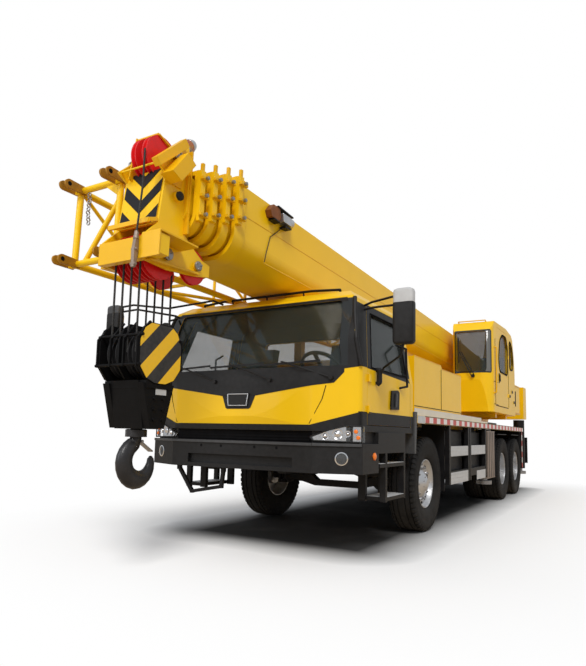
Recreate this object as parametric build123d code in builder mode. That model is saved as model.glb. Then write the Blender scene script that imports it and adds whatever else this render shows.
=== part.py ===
from build123d import *
import os
from math import cos, hypot, radians, sin

# Three-axle truck crane with a five-section telescopic boom, stowed for the road.
# Frame: +X forward, +Y to the crane's left, +Z up, in millimetres.  The origin lies on the
# ground, midway along the crane's length and on its centre line.
os.makedirs("parts", exist_ok=True)

# ------------------------------------------------------------------ driving dimensions
# Running clearances
pin_gap = 0.5           # radial gap of a pin or shaft in its bore
slide_gap = 0.5         # under a beam, tube or ring that slides on its pad
free_gap = 10.0         # between pieces that move past each other
door_gap = 6.0          # round a door in its opening
hinge_radius = 8.0      # barrels of the doors' hinges

# Axles and wheels
front_axle_x = 1950.0
wheelbase = 4425.0
bogie_pitch = 1350.0
tyre_radius = 560.0
tyre_width = 315.0
rim_radius = 290.0
rim_wall = 14.0
front_track_half = 1037.0
rear_track_half = 917.0
twin_pitch = 340.0
spindle_radius = 55.0
hub_radius = 130.0

# Chassis
half_width = 1250.0
rail_outer = 470.0
rail_inner = 380.0
rail_bottom = 740.0
rail_top_cab = 1150.0
rail_top = 1262.0
rail_front = front_axle_x + 2120.0
rail_rear = front_axle_x - 7380.0
deck_front = front_axle_x + 585.0
deck_rear = front_axle_x - 7380.0
deck_top = 1357.0
deck_edge_height = 90.0
deck_plate = 20.0
plinth_top = 1450.0
plinth_rear = front_axle_x - 2600.0
hood_front = front_axle_x + 400.0
hood_rear = front_axle_x - 1720.0
hood_step_x = front_axle_x - 690.0
hood_half_width = half_width - 100.0
hood_top_front = 2060.0
hood_top_rear = 2015.0
hood_wall = 25.0

# Driver's cab
cab_front = front_axle_x + 2280.0
cab_rear = front_axle_x + 700.0
cab_bottom = rail_top_cab
cab_top = 2520.0
cab_half_width = half_width - 15.0
cab_roof_half_width = cab_half_width - 130.0
cab_wall = 60.0
cab_waist = 1745.0
glass_inset = 18.0
glass_thickness = 12.0

# Outriggers
beam_width = 290.0
beam_height = 300.0
tunnel_wall = 20.0
box_bottom = 790.0
box_half_length = 1000.0
beam_stroke = 1750.0
jack_y = 1130.0
jack_radius = 95.0
jack_rod_radius = 60.0
jack_bottom = 470.0
float_radius = 190.0
float_thickness = 60.0

# Slewing ring and superstructure
slew_x = front_axle_x - 4850.0
ring_radius = 600.0
ring_top = 1400.0
turntable_plate = 40.0
cheek_inner = 430.0
cheek_thickness = 35.0

# Boom: pivot, tilt at rest and sections
pivot_x = front_axle_x - 6850.0
pivot_z = 2560.0
boom_tilt = 1.9
pivot_pin_radius = 60.0
boom_wall = 10.0

# Luffing cylinder, as distances from the boom's pivot at rest
ram_base = (900.0, -900.0)
ram_eye = (2900.0, -400.0)
ram_barrel_radius = 115.0
ram_bore_radius = 95.0
ram_rod_radius = 72.0
ram_pin_radius = 40.0

# Operator's cab
operator_front = front_axle_x - 3430.0
operator_rear = front_axle_x - 5900.0
operator_inner = 530.0
operator_outer = half_width
operator_bottom = 1580.0
operator_top = 3250.0
operator_wall = 45.0

# Counterweight
tail_x = front_axle_x - 7750.0
tail_bottom = 1570.0
tail_top = pivot_z - 260.0

# Derived places
rear_axle_xs = (front_axle_x - wheelbase, front_axle_x - wheelbase - bogie_pitch)
axle_z = tyre_radius
deck_hole_x = (front_axle_x - 1150, front_axle_x - 80)
deck_hole_half = 365.0
turntable_bottom = ring_top + slide_gap
turntable_top = turntable_bottom + turntable_plate


# ------------------------------------------------------------------ helpers
def span(side, near, far):
    """The Y limits of a piece on one side of the crane: +1 is the left, -1 the right."""
    return sorted((side * near, side * far))


def block(x_span, y_span, z_span, mode=Mode.ADD):
    """An upright box between two limits on each axis."""
    centre = (sum(x_span) / 2, sum(y_span) / 2, sum(z_span) / 2)
    with Locations(centre):
        Box(x_span[1] - x_span[0], y_span[1] - y_span[0], z_span[1] - z_span[0], mode=mode)


def plate_xz(points, y_span, mode=Mode.ADD, grow=0.0, rounding=0.0):
    """A plate with its outline in the XZ plane, between two Y limits.

    Grow widens the outline and rounding rounds its corners.
    """
    with BuildSketch(Plane.XZ.offset(-y_span[1])) as outline:
        with BuildLine():
            Polyline(*points, close=True)
        make_face()
        if grow:
            offset(amount=grow, kind=Kind.INTERSECTION)
        if rounding:
            fillet(outline.vertices(), rounding)
    extrude(outline.sketch, amount=y_span[1] - y_span[0], mode=mode)


def plate_xy(points, z_span, mode=Mode.ADD):
    """A plate with its outline seen from above, between two Z limits."""
    with BuildSketch(Plane.XY.offset(z_span[0])) as outline:
        with BuildLine():
            Polyline(*points, close=True)
        make_face()
    extrude(outline.sketch, amount=z_span[1] - z_span[0], mode=mode)


def plate_yz(points, x_span, mode=Mode.ADD, rounding=0.0):
    """A plate with its outline seen from the front, between two X limits."""
    with BuildSketch(Plane.YZ.offset(x_span[0])) as outline:
        with BuildLine():
            Polyline(*points, close=True)
        make_face()
        if rounding:
            fillet(outline.vertices(), rounding)
    extrude(outline.sketch, amount=x_span[1] - x_span[0], mode=mode)


def rod(start, end, radius, mode=Mode.ADD):
    """A round bar from one point to another."""
    way = Vector(*end) - Vector(*start)
    with BuildSketch(Plane(origin=start, z_dir=way)) as section:
        Circle(radius)
    extrude(section.sketch, amount=way.length, mode=mode)


def bar(start, end, side, mode=Mode.ADD):
    """A square bar from one point to another."""
    way = Vector(*end) - Vector(*start)
    with BuildSketch(Plane(origin=start, z_dir=way)) as section:
        Rectangle(side, side)
    extrude(section.sketch, amount=way.length, mode=mode)


def turned(points, axle_x, mode=Mode.ADD):
    """A ring about a wheel's axle, from (y, radius) points."""
    with BuildSketch(Plane.YZ.offset(axle_x)) as section:
        with BuildLine():
            Polyline(*[(y, axle_z + radius) for y, radius in points], close=True)
        make_face()
    revolve(section.sketch, axis=Axis((axle_x, 0, axle_z), (0, 1, 0)), mode=mode)


def keep(part, name):
    """Label a finished piece and write it."""
    part.label = name
    export_step(part, f"parts/{name}.step")


# ------------------------------------------------------------------ tyres and wheels
def tyre_ring(axle_x, centre_y):
    """One tyre: straight tread, rounded shoulders and bulged walls."""
    half = tyre_width / 2
    wall_middle = (rim_radius + tyre_radius) / 2
    turned([(centre_y - half * 0.72, rim_radius), (centre_y - half, wall_middle),
            (centre_y - half * 0.97, tyre_radius - 45), (centre_y - half * 0.82, tyre_radius),
            (centre_y + half * 0.82, tyre_radius), (centre_y + half * 0.97, tyre_radius - 45),
            (centre_y + half, wall_middle), (centre_y + half * 0.72, rim_radius)], axle_x)


def hub_bore(axle_x, side, inner_y, depth):
    """The blind bore that runs on a spindle."""
    rod((axle_x, side * inner_y, axle_z), (axle_x, side * (inner_y + depth), axle_z),
        spindle_radius + pin_gap, Mode.SUBTRACT)


rim_half = tyre_width * 0.36
front_disc_y = front_track_half + 55
spindle_end = 60
for side_name, side in (("left", 1), ("right", -1)):
    with BuildPart() as front_tyre:
        tyre_ring(front_axle_x, side * front_track_half)
    keep(front_tyre.part, f"front_tyre_{side_name}")

    # Steel rim with its disc near the outside and a domed hub
    with BuildPart() as front_rim:
        inner = front_track_half - rim_half
        outer = front_track_half + rim_half
        ring = [(inner, rim_radius), (inner, rim_radius - rim_wall),
                (front_disc_y - 12, rim_radius - rim_wall - 26), (front_disc_y - 12, hub_radius),
                (front_disc_y - 110, hub_radius), (front_disc_y - 110, 0),
                (outer + 30, 0), (outer + 30, 45), (outer, 105), (front_disc_y + 14, hub_radius + 40),
                (front_disc_y + 14, rim_radius - rim_wall - 26), (outer, rim_radius - rim_wall),
                (outer, rim_radius)]
        turned([(side * y, radius) for y, radius in ring], front_axle_x)
        hub_bore(front_axle_x, side, front_disc_y - 110, 90)
    keep(front_rim.part, f"front_rim_{side_name}")

twin_inner = rear_track_half - twin_pitch / 2
twin_outer = rear_track_half + twin_pitch / 2
rear_disc_y = rear_track_half + 10
for axle_name, axle_x in zip(("second", "third"), rear_axle_xs):
    for side_name, side in (("left", 1), ("right", -1)):
        with BuildPart() as twin_tyres:
            tyre_ring(axle_x, side * twin_inner)
            tyre_ring(axle_x, side * twin_outer)
        keep(twin_tyres.part, f"{axle_name}_tyres_{side_name}")

        # Two rims back to back on one hub, so the outer one shows a deep dish
        with BuildPart() as twin_rims:
            ring = [(twin_inner - rim_half, rim_radius), (twin_inner - rim_half, rim_radius - rim_wall),
                    (rear_disc_y - 14, rim_radius - rim_wall - 12), (rear_disc_y - 14, hub_radius),
                    (rear_disc_y - 90, hub_radius), (rear_disc_y - 90, 0),
                    (rear_disc_y + 190, 0), (rear_disc_y + 190, 60), (rear_disc_y + 170, 88),
                    (rear_disc_y + 60, 95), (rear_disc_y + 14, hub_radius + 35),
                    (rear_disc_y + 14, rim_radius - rim_wall - 12),
                    (twin_outer + rim_half, rim_radius - rim_wall), (twin_outer + rim_half, rim_radius),
                    (twin_outer - rim_half, rim_radius), (twin_outer - rim_half, rim_radius - rim_wall / 2),
                    (twin_inner + rim_half, rim_radius - rim_wall / 2), (twin_inner + rim_half, rim_radius)]
            turned([(side * y, radius) for y, radius in ring], axle_x)
            hub_bore(axle_x, side, rear_disc_y - 90, 150)
        keep(twin_rims.part, f"{axle_name}_rims_{side_name}")

# ------------------------------------------------------------------ front axle and knuckles
kingpin_y = 800.0
kingpin_radius = 25.0
beam_eye_radius = 55.0
beam_low = axle_z - 60
beam_high = axle_z + 40
spring_y = (rail_inner + rail_outer) / 2
spring_half_width = 37.5

with BuildPart() as front_axle:
    # Dropped beam: low in the middle, level under the springs, sloped to the kingpins' eyes
    plate_yz([(-kingpin_y + 20, beam_low + 10), (-600, beam_low + 10), (-330, beam_low - 55),
              (330, beam_low - 55),
              (600, beam_low + 10), (kingpin_y - 20, beam_low + 10), (kingpin_y - 20, beam_high - 5),
              (470, beam_high - 15), (375, beam_high - 15), (300, beam_high - 75), (-300, beam_high - 75),
              (-375, beam_high - 15), (-470, beam_high - 15), (-kingpin_y + 20, beam_high - 5)],
             (front_axle_x - 50, front_axle_x + 50))
    for side in (1, -1):
        # Eye for the kingpin
        rod((front_axle_x, side * kingpin_y, beam_low), (front_axle_x, side * kingpin_y, beam_high),
            beam_eye_radius)
        rod((front_axle_x, side * kingpin_y, beam_low - 1), (front_axle_x, side * kingpin_y, beam_high + 1),
            kingpin_radius + pin_gap, Mode.SUBTRACT)
        # Leaf spring: thick in the middle, its ends up under the rail
        spring_low = beam_high - 20
        plate_xz([(front_axle_x - 750, rail_bottom), (front_axle_x - 750, rail_bottom - 35),
                  (front_axle_x - 420, rail_bottom - 90), (front_axle_x - 120, spring_low),
                  (front_axle_x + 120, spring_low), (front_axle_x + 420, rail_bottom - 90),
                  (front_axle_x + 750, rail_bottom - 35), (front_axle_x + 750, rail_bottom),
                  (front_axle_x + 700, rail_bottom), (front_axle_x + 380, rail_bottom - 58),
                  (front_axle_x, spring_low + 75), (front_axle_x - 380, rail_bottom - 58),
                  (front_axle_x - 700, rail_bottom)],
                 (side * spring_y - spring_half_width, side * spring_y + spring_half_width))
keep(front_axle.part, "front_axle")

for side_name, side in (("left", 1), ("right", -1)):
    with BuildPart() as knuckle:
        web_y = span(side, kingpin_y + beam_eye_radius + 12, kingpin_y + beam_eye_radius + 42)
        lug_y = span(side, kingpin_y - 45, kingpin_y + beam_eye_radius + 42)
        low_lug = (beam_low - 42, beam_low - 6)
        high_lug = (beam_high + 6, beam_high + 42)
        block((front_axle_x - 60, front_axle_x + 60), web_y, (low_lug[0], high_lug[1]))
        block((front_axle_x - 45, front_axle_x + 45), lug_y, low_lug)
        block((front_axle_x - 45, front_axle_x + 45), lug_y, high_lug)
        rod((front_axle_x, side * kingpin_y, low_lug[0]), (front_axle_x, side * kingpin_y, high_lug[1]),
            kingpin_radius)
        rod((front_axle_x, side * (kingpin_y + beam_eye_radius + 40), axle_z),
            (front_axle_x, side * (front_disc_y - 110 + 85), axle_z), spindle_radius)
        # Steering arm towards the rear
        block((front_axle_x - 190, front_axle_x - 40), span(side, kingpin_y - 10, kingpin_y + 30), low_lug)
    keep(knuckle.part, f"knuckle_{side_name}")

# ------------------------------------------------------------------ rear axles
bogie_x = sum(rear_axle_xs) / 2
shaft_z = axle_z + 60
with BuildPart() as rear_axles:
    for axle_x in rear_axle_xs:
        rod((axle_x, -(twin_inner - 60), axle_z), (axle_x, twin_inner - 60, axle_z), 105)
        rod((axle_x, -(rear_disc_y + 55), axle_z), (axle_x, rear_disc_y + 55, axle_z), spindle_radius)
        turned([(-215, 0), (-215, 90), (-120, 190), (0, 215), (120, 190), (215, 90), (215, 0)], axle_x)
        for side in (1, -1):
            # Seat of the spring's end on the axle
            block((axle_x - 70, axle_x + 70), (side * spring_y - 45, side * spring_y + 45),
                  (axle_z, axle_z + 120))
    for side in (1, -1):
        plate_xz([(rear_axle_xs[1] - 110, axle_z + 120), (rear_axle_xs[0] + 110, axle_z + 120),
                  (rear_axle_xs[0] + 110, axle_z + 145), (bogie_x + 90, rail_bottom),
                  (bogie_x - 90, rail_bottom), (rear_axle_xs[1] - 110, axle_z + 145)],
                 (side * spring_y - spring_half_width, side * spring_y + spring_half_width))
    # Propeller shafts from the gearbox to the second and third axles
    rod((rear_axle_xs[1], 0, shaft_z), (front_axle_x - 2350, 0, shaft_z), 50)
keep(rear_axles.part, "rear_axles")

# ------------------------------------------------------------------ outrigger layout
tunnel_bottom = box_bottom + tunnel_wall
tunnel_top = tunnel_bottom + slide_gap + beam_height + free_gap
box_top = tunnel_top + tunnel_wall
tunnel_half = beam_width / 2 + free_gap
tunnel_pitch = 2 * tunnel_half + tunnel_wall
box_half = tunnel_pitch / 2 + tunnel_half + tunnel_wall
front_box_x = front_axle_x - 3400
rear_box_x = front_axle_x - 7000

# Columns: name, tunnel centre x, side, top of the jack
outriggers = [
    ("front_left", front_box_x + tunnel_pitch / 2, 1, deck_top - deck_edge_height - 12),
    ("front_right", front_box_x - tunnel_pitch / 2, -1, deck_top - deck_edge_height - 12),
    ("rear_left", rear_box_x + tunnel_pitch / 2, 1, 1530.0),
    ("rear_right", rear_box_x - tunnel_pitch / 2, -1, 1530.0),
]

# ------------------------------------------------------------------ frame
with BuildPart() as frame:
    for side in (1, -1):
        plate_xz([(rail_rear, rail_bottom), (rail_front, rail_bottom), (rail_front, rail_top_cab),
                  (cab_rear - 10, rail_top_cab), (deck_front - 60, rail_top), (rail_rear, rail_top)],
                 span(side, rail_inner, rail_outer))
    # Crossmembers
    for cross_x in (rail_front - 60, front_axle_x + 1150, front_axle_x + 560, front_axle_x - 2450,
                    bogie_x + 480, bogie_x - 480):
        block((cross_x - 45, cross_x + 45), (-rail_inner, rail_inner),
              (rail_bottom + 40, rail_bottom + 220))
    # Outrigger boxes across the rails
    for box_x in (front_box_x, rear_box_x):
        block((box_x - box_half, box_x + box_half), (-box_half_length, box_half_length),
              (box_bottom, box_top))
    # Ring seat under the slewing ring
    block((slew_x - ring_radius, slew_x + ring_radius), (-rail_inner, rail_inner),
          (rail_top - 60, rail_top))
    rod((slew_x, 0, rail_top), (slew_x, 0, ring_top), ring_radius)
    rod((slew_x, 0, rail_top - 61), (slew_x, 0, ring_top + 1), ring_radius - 150, Mode.SUBTRACT)
    for name, tunnel_x, side, jack_top in outriggers:
        block((tunnel_x - tunnel_half, tunnel_x + tunnel_half), (-box_half_length - 1, box_half_length + 1),
              (tunnel_bottom, tunnel_top), Mode.SUBTRACT)
keep(frame.part, "frame")

# ------------------------------------------------------------------ outrigger beams and jacks
beam_low_z = tunnel_bottom + slide_gap
jack_length_below = 60
for name, tunnel_x, side, jack_top in outriggers:
    with BuildPart() as beam:
        block((tunnel_x - beam_width / 2, tunnel_x + beam_width / 2),
              sorted((-side * (box_half_length - 20), side * (jack_y - 60))), (beam_low_z,
                                                                               beam_low_z + beam_height))
        block((tunnel_x - beam_width / 2 + 25, tunnel_x + beam_width / 2 - 25),
              sorted((-side * (box_half_length - 19), side * (jack_y - 130))),
              (beam_low_z + 25, beam_low_z + beam_height - 25), Mode.SUBTRACT)
        rod((tunnel_x, side * jack_y, jack_bottom), (tunnel_x, side * jack_y, jack_top), jack_radius + 20)
        rod((tunnel_x, side * jack_y, jack_bottom - 1), (tunnel_x, side * jack_y, jack_top - 25),
            jack_rod_radius + pin_gap, Mode.SUBTRACT)
    keep(beam.part, f"outrigger_beam_{name}")

    with BuildPart() as jack:
        rod((tunnel_x, side * jack_y, jack_bottom - jack_length_below), (tunnel_x, side * jack_y,
                                                                         jack_top - 40), jack_rod_radius)
        with BuildSketch(Plane.XY.offset(jack_bottom - jack_length_below - float_thickness)):
            with Locations((tunnel_x, side * jack_y)):
                Circle(float_radius - 60)
        extrude(amount=float_thickness)
    keep(jack.part, f"outrigger_jack_{name}")

# ------------------------------------------------------------------ engine and hood
with BuildPart() as engine:
    block((deck_hole_x[0] + 20, deck_hole_x[1] - 20), (-345, 345), (rail_bottom + 20, 1780))
    block((front_axle_x - 2300, deck_hole_x[0] + 20), (-210, 210), (rail_bottom - 60, rail_bottom + 380))
    # Mounts on the rails
    for mount_x in (deck_hole_x[0] + 120, deck_hole_x[1] - 120):
        block((mount_x - 40, mount_x + 40), (-rail_inner, rail_inner),
              (rail_bottom + 120, rail_bottom + 200))
keep(engine.part, "engine")


def hood_outline(inset):
    """The hood from the side: a higher front half and a step down."""
    return [(hood_rear + inset, plinth_top - (1 if inset else 0)),
            (hood_front - inset, plinth_top - (1 if inset else 0)),
            (hood_front - inset, hood_top_front - inset), (hood_step_x + inset, hood_top_front - inset),
            (hood_step_x - 60 + inset, hood_top_rear - inset), (hood_rear + inset, hood_top_rear - inset)]


with BuildPart() as hood:
    plate_xz(hood_outline(0), (-hood_half_width, hood_half_width))
    plate_xz(hood_outline(hood_wall), (-hood_half_width + hood_wall, hood_half_width - hood_wall),
             Mode.SUBTRACT)
keep(hood.part, "engine_hood")

# ------------------------------------------------------------------ driver's cab
def cab_side(inset):
    """Side outline of the cab: upright front panel, raked screen, flat roof."""
    return [(cab_rear + inset, cab_bottom + inset), (cab_front - 25 - inset, cab_bottom + inset),
            (cab_front - inset, cab_bottom + 130), (cab_front - 20 - inset, 1600),
            (cab_front - 45 - inset, cab_waist), (cab_front - 305 - inset, cab_top - 75 - inset * 0.5),
            (cab_front - 430, cab_top - inset), (cab_rear + 90, cab_top - 15 - inset),
            (cab_rear + inset, cab_top - 100 - inset)]


def cab_form(inset):
    """The cab's solid form, shrunk by an inset: side, plan and front outlines intersected."""
    with BuildPart() as form:
        plate_xz(cab_side(inset), (-cab_half_width, cab_half_width))
        # From above: a nearly flat nose, angled corners
        plan_half = cab_half_width - inset
        with BuildSketch(Plane.XY.offset(cab_bottom - 10)) as plan:
            with BuildLine():
                Polyline((cab_front - 190 - inset, plan_half - 10), (cab_rear - 1, plan_half),
                         (cab_rear - 1, -plan_half),
                         (cab_front - 190 - inset, -plan_half + 10), (cab_front - 22 - inset,
                                                                      -810 + inset * 0.5))
                ThreePointArc((cab_front - 22 - inset, -810 + inset * 0.5), (cab_front - inset + 1, 0),
                              (cab_front - 22 - inset, 810 - inset * 0.5))
                Line((cab_front - 22 - inset, 810 - inset * 0.5), (cab_front - 190 - inset, plan_half - 10))
            make_face()
            fillet(plan.vertices().group_by(Axis.X)[-1], 120)
            fillet(plan.vertices().sort_by(Axis.X)[2:4], 70)
        extrude(amount=cab_top, mode=Mode.INTERSECT)
        # From the front: upright to the waist, then leaning in to the roof
        roof_half = cab_roof_half_width - inset
        plate_yz([(-plan_half, cab_bottom - 1), (plan_half, cab_bottom - 1), (plan_half, cab_waist - 60),
                  (roof_half, cab_top - 95 - inset), (roof_half - 110, cab_top + 1 - inset),
                  (-roof_half + 110, cab_top + 1 - inset), (-roof_half, cab_top - 95 - inset),
                  (-plan_half, cab_waist - 60)],
                 (cab_rear - 1, cab_front + 60), Mode.INTERSECT)
    return form.part


screen_half_low = 1065.0
screen_half_high = 985.0
screen_low = cab_waist
screen_high = cab_top - 125.0
screen_points = [(-screen_half_low, screen_low), (screen_half_low, screen_low),
                 (screen_half_high, screen_high),
                 (-screen_half_high, screen_high)]
rear_window_points = [(-700, 1780), (700, 1780), (700, 2250), (-700, 2250)]
door_front = cab_front - 330.0
door_rear = cab_rear + 90.0
door_low = cab_bottom + cab_wall + door_gap
door_high = cab_top - 130.0
door_points = [(door_rear, door_low), (door_front, door_low), (door_front, cab_waist),
               (door_front - 215, door_high),
               (door_rear, door_high)]
side_window_points = [(door_rear + 90, cab_waist + 10), (door_front - 95, cab_waist + 10),
                      (door_front - 280, door_high - 75), (door_rear + 90, door_high - 75)]


lamp_low = cab_bottom - 95.0
lamp_high = cab_bottom + 48.0
lamp_reach = (cab_front - 260.0, cab_front + 60.0)
bumper_low = 770.0
bumper_shelf = cab_bottom - 110.0
bumper_front = cab_front + 5.0
bumper_rear = front_axle_x + 1720.0
bumper_back = bumper_front - 130.0
grille_depth = 45.0


def lamp_points(side):
    """Headlamp seen from the front: a wedge that grows towards the corner."""
    return [(side * y, z) for y, z in ((800, lamp_low + 40), (830, lamp_low + 8),
                                       (half_width - 12, lamp_low),
                                       (half_width - 12, lamp_high), (1100, lamp_high), (960,
                                                                                         lamp_high - 38))]


def bumper_plan(inset):
    """The bumper from above: a flat nose with angled corners, shrunk by an inset."""
    side_y = half_width - inset
    nose_x = bumper_front - 20 - inset
    return [(bumper_rear, side_y), (bumper_front - 190 - inset * 0.6, side_y), (nose_x, 830 - inset * 0.4),
            (nose_x, -830 + inset * 0.4), (bumper_front - 190 - inset * 0.6, -side_y), (bumper_rear,
                                                                                        -side_y)]


cab_outer = cab_form(0)
cab_inner = cab_form(cab_wall)
glass_outer = cab_form(glass_inset)
glass_inner = cab_form(glass_inset + glass_thickness)
side_reach = (cab_half_width - 330, cab_half_width + 20)
hinge_y = cab_half_width + hinge_radius
window_rounding = 45.0

with BuildPart() as cab_shell:
    add(cab_outer)
    add(cab_inner, mode=Mode.SUBTRACT)
    plate_yz(screen_points, (cab_front - 450, cab_front + 60), Mode.SUBTRACT, window_rounding)
    plate_yz(rear_window_points, (cab_rear - 10, cab_rear + 200), Mode.SUBTRACT, window_rounding)
    for side in (1, -1):
        plate_yz(lamp_points(side), lamp_reach, Mode.SUBTRACT)
        plate_xz(door_points, sorted((side * side_reach[0], side * side_reach[1])), Mode.SUBTRACT,
                 grow=door_gap)
keep(cab_shell.part, "cab_shell")

with BuildPart() as cab_glass:
    plate_yz(screen_points, (cab_front - 450, cab_front + 60), rounding=window_rounding)
    plate_yz(rear_window_points, (cab_rear - 10, cab_rear + 200), rounding=window_rounding)
    add(glass_outer, mode=Mode.INTERSECT)
    add(glass_inner, mode=Mode.SUBTRACT)
keep(cab_glass.part, "cab_glass")

# Lamp housings, flush with the angled corners of cab and bumper
with BuildPart() as lamp_prisms:
    for side in (1, -1):
        plate_yz(lamp_points(side), lamp_reach)
with BuildPart() as headlamps:
    plate_xy(bumper_plan(12), (lamp_low - 1, lamp_high + 1))
    add(lamp_prisms.part, mode=Mode.INTERSECT)
    add(cab_inner, mode=Mode.SUBTRACT)
keep(headlamps.part, "headlamps")

for side_name, side in (("left", 1), ("right", -1)):
    reach = sorted((side * side_reach[0], side * side_reach[1]))
    with BuildPart() as door:
        plate_xz(door_points, reach)
        add(cab_outer, mode=Mode.INTERSECT)
        add(cab_inner, mode=Mode.SUBTRACT)
        plate_xz(side_window_points, reach, Mode.SUBTRACT, rounding=window_rounding)
        # Round hinge barrels on the door's front edge, each on a strap
        for share in (0.2, 0.75):
            strap_z = door_low + (cab_waist - door_low) * share
            rod((door_front, side * hinge_y, strap_z), (door_front, side * hinge_y, strap_z + 70),
                hinge_radius - 1)
            block((door_front - 60, door_front), span(side, hinge_y, hinge_y - 20), (strap_z, strap_z + 70))
    keep(door.part, f"cab_door_{side_name}")

    with BuildPart() as door_glass:
        plate_xz(side_window_points, reach, rounding=window_rounding)
        add(glass_outer, mode=Mode.INTERSECT)
        add(glass_inner, mode=Mode.SUBTRACT)
    keep(door_glass.part, f"cab_door_glass_{side_name}")

# Dashboard, two seats and the steering wheel
floor_z = cab_bottom + cab_wall
with BuildPart() as cab_interior:
    plate_xz([(cab_front - 320, floor_z), (cab_front - 180, floor_z), (cab_front - 180, 1560),
              (cab_front - 200, 1700), (cab_front - 420, 1700), (cab_front - 470, 1600), (cab_front - 320,
                                                                                          1450)],
             (-900, 900))
    for seat_y in (620, -620):
        block((cab_rear + 330, cab_rear + 820), (seat_y - 240, seat_y + 240), (floor_z, 1520))
        plate_xz([(cab_rear + 330, 1520), (cab_rear + 470, 1520), (cab_rear + 330, 2130),
                  (cab_rear + 210, 2130)],
                 (seat_y - 230, seat_y + 230))
    rod((cab_front - 440, 620, 1640), (cab_front - 560, 620, 1780), 35)
    with BuildSketch(Plane(origin=(cab_front - 560, 620, 1780), z_dir=(-120, 0, 140))):
        Circle(225)
        Circle(195, mode=Mode.SUBTRACT)
        Rectangle(400, 34)
    extrude(amount=26)
keep(cab_interior.part, "cab_interior")

# ------------------------------------------------------------------ bumper
skirt_low = cab_bottom - 200.0
skirt_rear = front_axle_x + 985.0
with BuildPart() as bumper:
    plate_xy(bumper_plan(0), (bumper_low, bumper_shelf))
    # Grille band between the lamps, set back under the cab's front panel
    plate_xy(bumper_plan(grille_depth), (bumper_shelf - 1, cab_bottom))
    inside = [(bumper_rear - 1, half_width - 70), (bumper_front - 240, half_width - 70), (bumper_back, 780),
              (bumper_back, -780), (bumper_front - 240, -half_width + 70), (bumper_rear - 1,
                                                                            -half_width + 70)]
    plate_xy(inside, (bumper_low - 1, cab_bottom + 1), Mode.SUBTRACT)
    # Low air intake and fog lamp recesses
    block((bumper_front - 60, bumper_front), (-620, 620), (bumper_low + 40, bumper_low + 130),
          Mode.SUBTRACT)
    for side in (1, -1):
        plate_yz(lamp_points(side), lamp_reach, Mode.SUBTRACT)
        # Side skirt back to the front wheel, over the cab's steps
        block((skirt_rear, bumper_rear + 10), span(side, half_width - 50, half_width),
              (skirt_low, cab_bottom))
        # Brackets back to the rails
        block((rail_front, bumper_front - 100), span(side, rail_inner, rail_outer),
              (bumper_low + 20, bumper_shelf - 60))
    # Rear crossbar with the lamps, behind the last crossmember
    block((rail_rear - 150, rail_rear - 70), (-1150, 1150), (rail_bottom + 120, rail_bottom + 260))
    for side in (1, -1):
        block((rail_rear - 70, rail_rear), span(side, rail_inner, rail_outer),
              (rail_bottom + 140, rail_bottom + 240))
keep(bumper.part, "bumpers")

# ------------------------------------------------------------------ mirrors
mirror_x = cab_front - 290.0
mirror_y = cab_half_width + 355.0
mirror_z = cab_top - 585.0
mirror_arm = 14.0
with BuildPart() as mirror_left:
    block((mirror_x - 45, mirror_x + 45), (mirror_y - 90, mirror_y + 100), (mirror_z, mirror_z + 375))
    block((mirror_x - 35, mirror_x + 55), (mirror_y - 80, mirror_y + 70), (mirror_z + 390, mirror_z + 505))
    rod((mirror_x, mirror_y, mirror_z - 80), (mirror_x, mirror_y, mirror_z + 520), mirror_arm)
    rod((mirror_x, mirror_y, mirror_z + 520), (door_front - 230, cab_roof_half_width - 15, door_high - 35),
        mirror_arm)
    rod((mirror_x, mirror_y, mirror_z - 80), (door_front - 310, cab_half_width - 10, cab_waist - 85),
        mirror_arm)
    block((door_front - 350, door_front - 270), (cab_half_width - 20, cab_half_width + 30),
          (cab_waist - 135, cab_waist - 45))
    add(cab_outer, mode=Mode.SUBTRACT)
keep(mirror_left.part, "mirror_left")

right_mirror_x = cab_front + 170.0
right_mirror_z = cab_top - 400.0
with BuildPart() as mirror_right:
    block((right_mirror_x - 45, right_mirror_x + 45), (-mirror_y - 100, -mirror_y + 90),
          (right_mirror_z, right_mirror_z + 370))
    rod((right_mirror_x, -mirror_y, right_mirror_z + 300), (cab_front - 330, -cab_roof_half_width + 55,
                                                            cab_top - 80), mirror_arm)
    rod((right_mirror_x, -mirror_y, right_mirror_z + 80), (cab_front - 230, -cab_half_width + 105,
                                                           cab_top - 440), mirror_arm)
    add(cab_outer, mode=Mode.SUBTRACT)
keep(mirror_right.part, "mirror_right")

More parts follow.
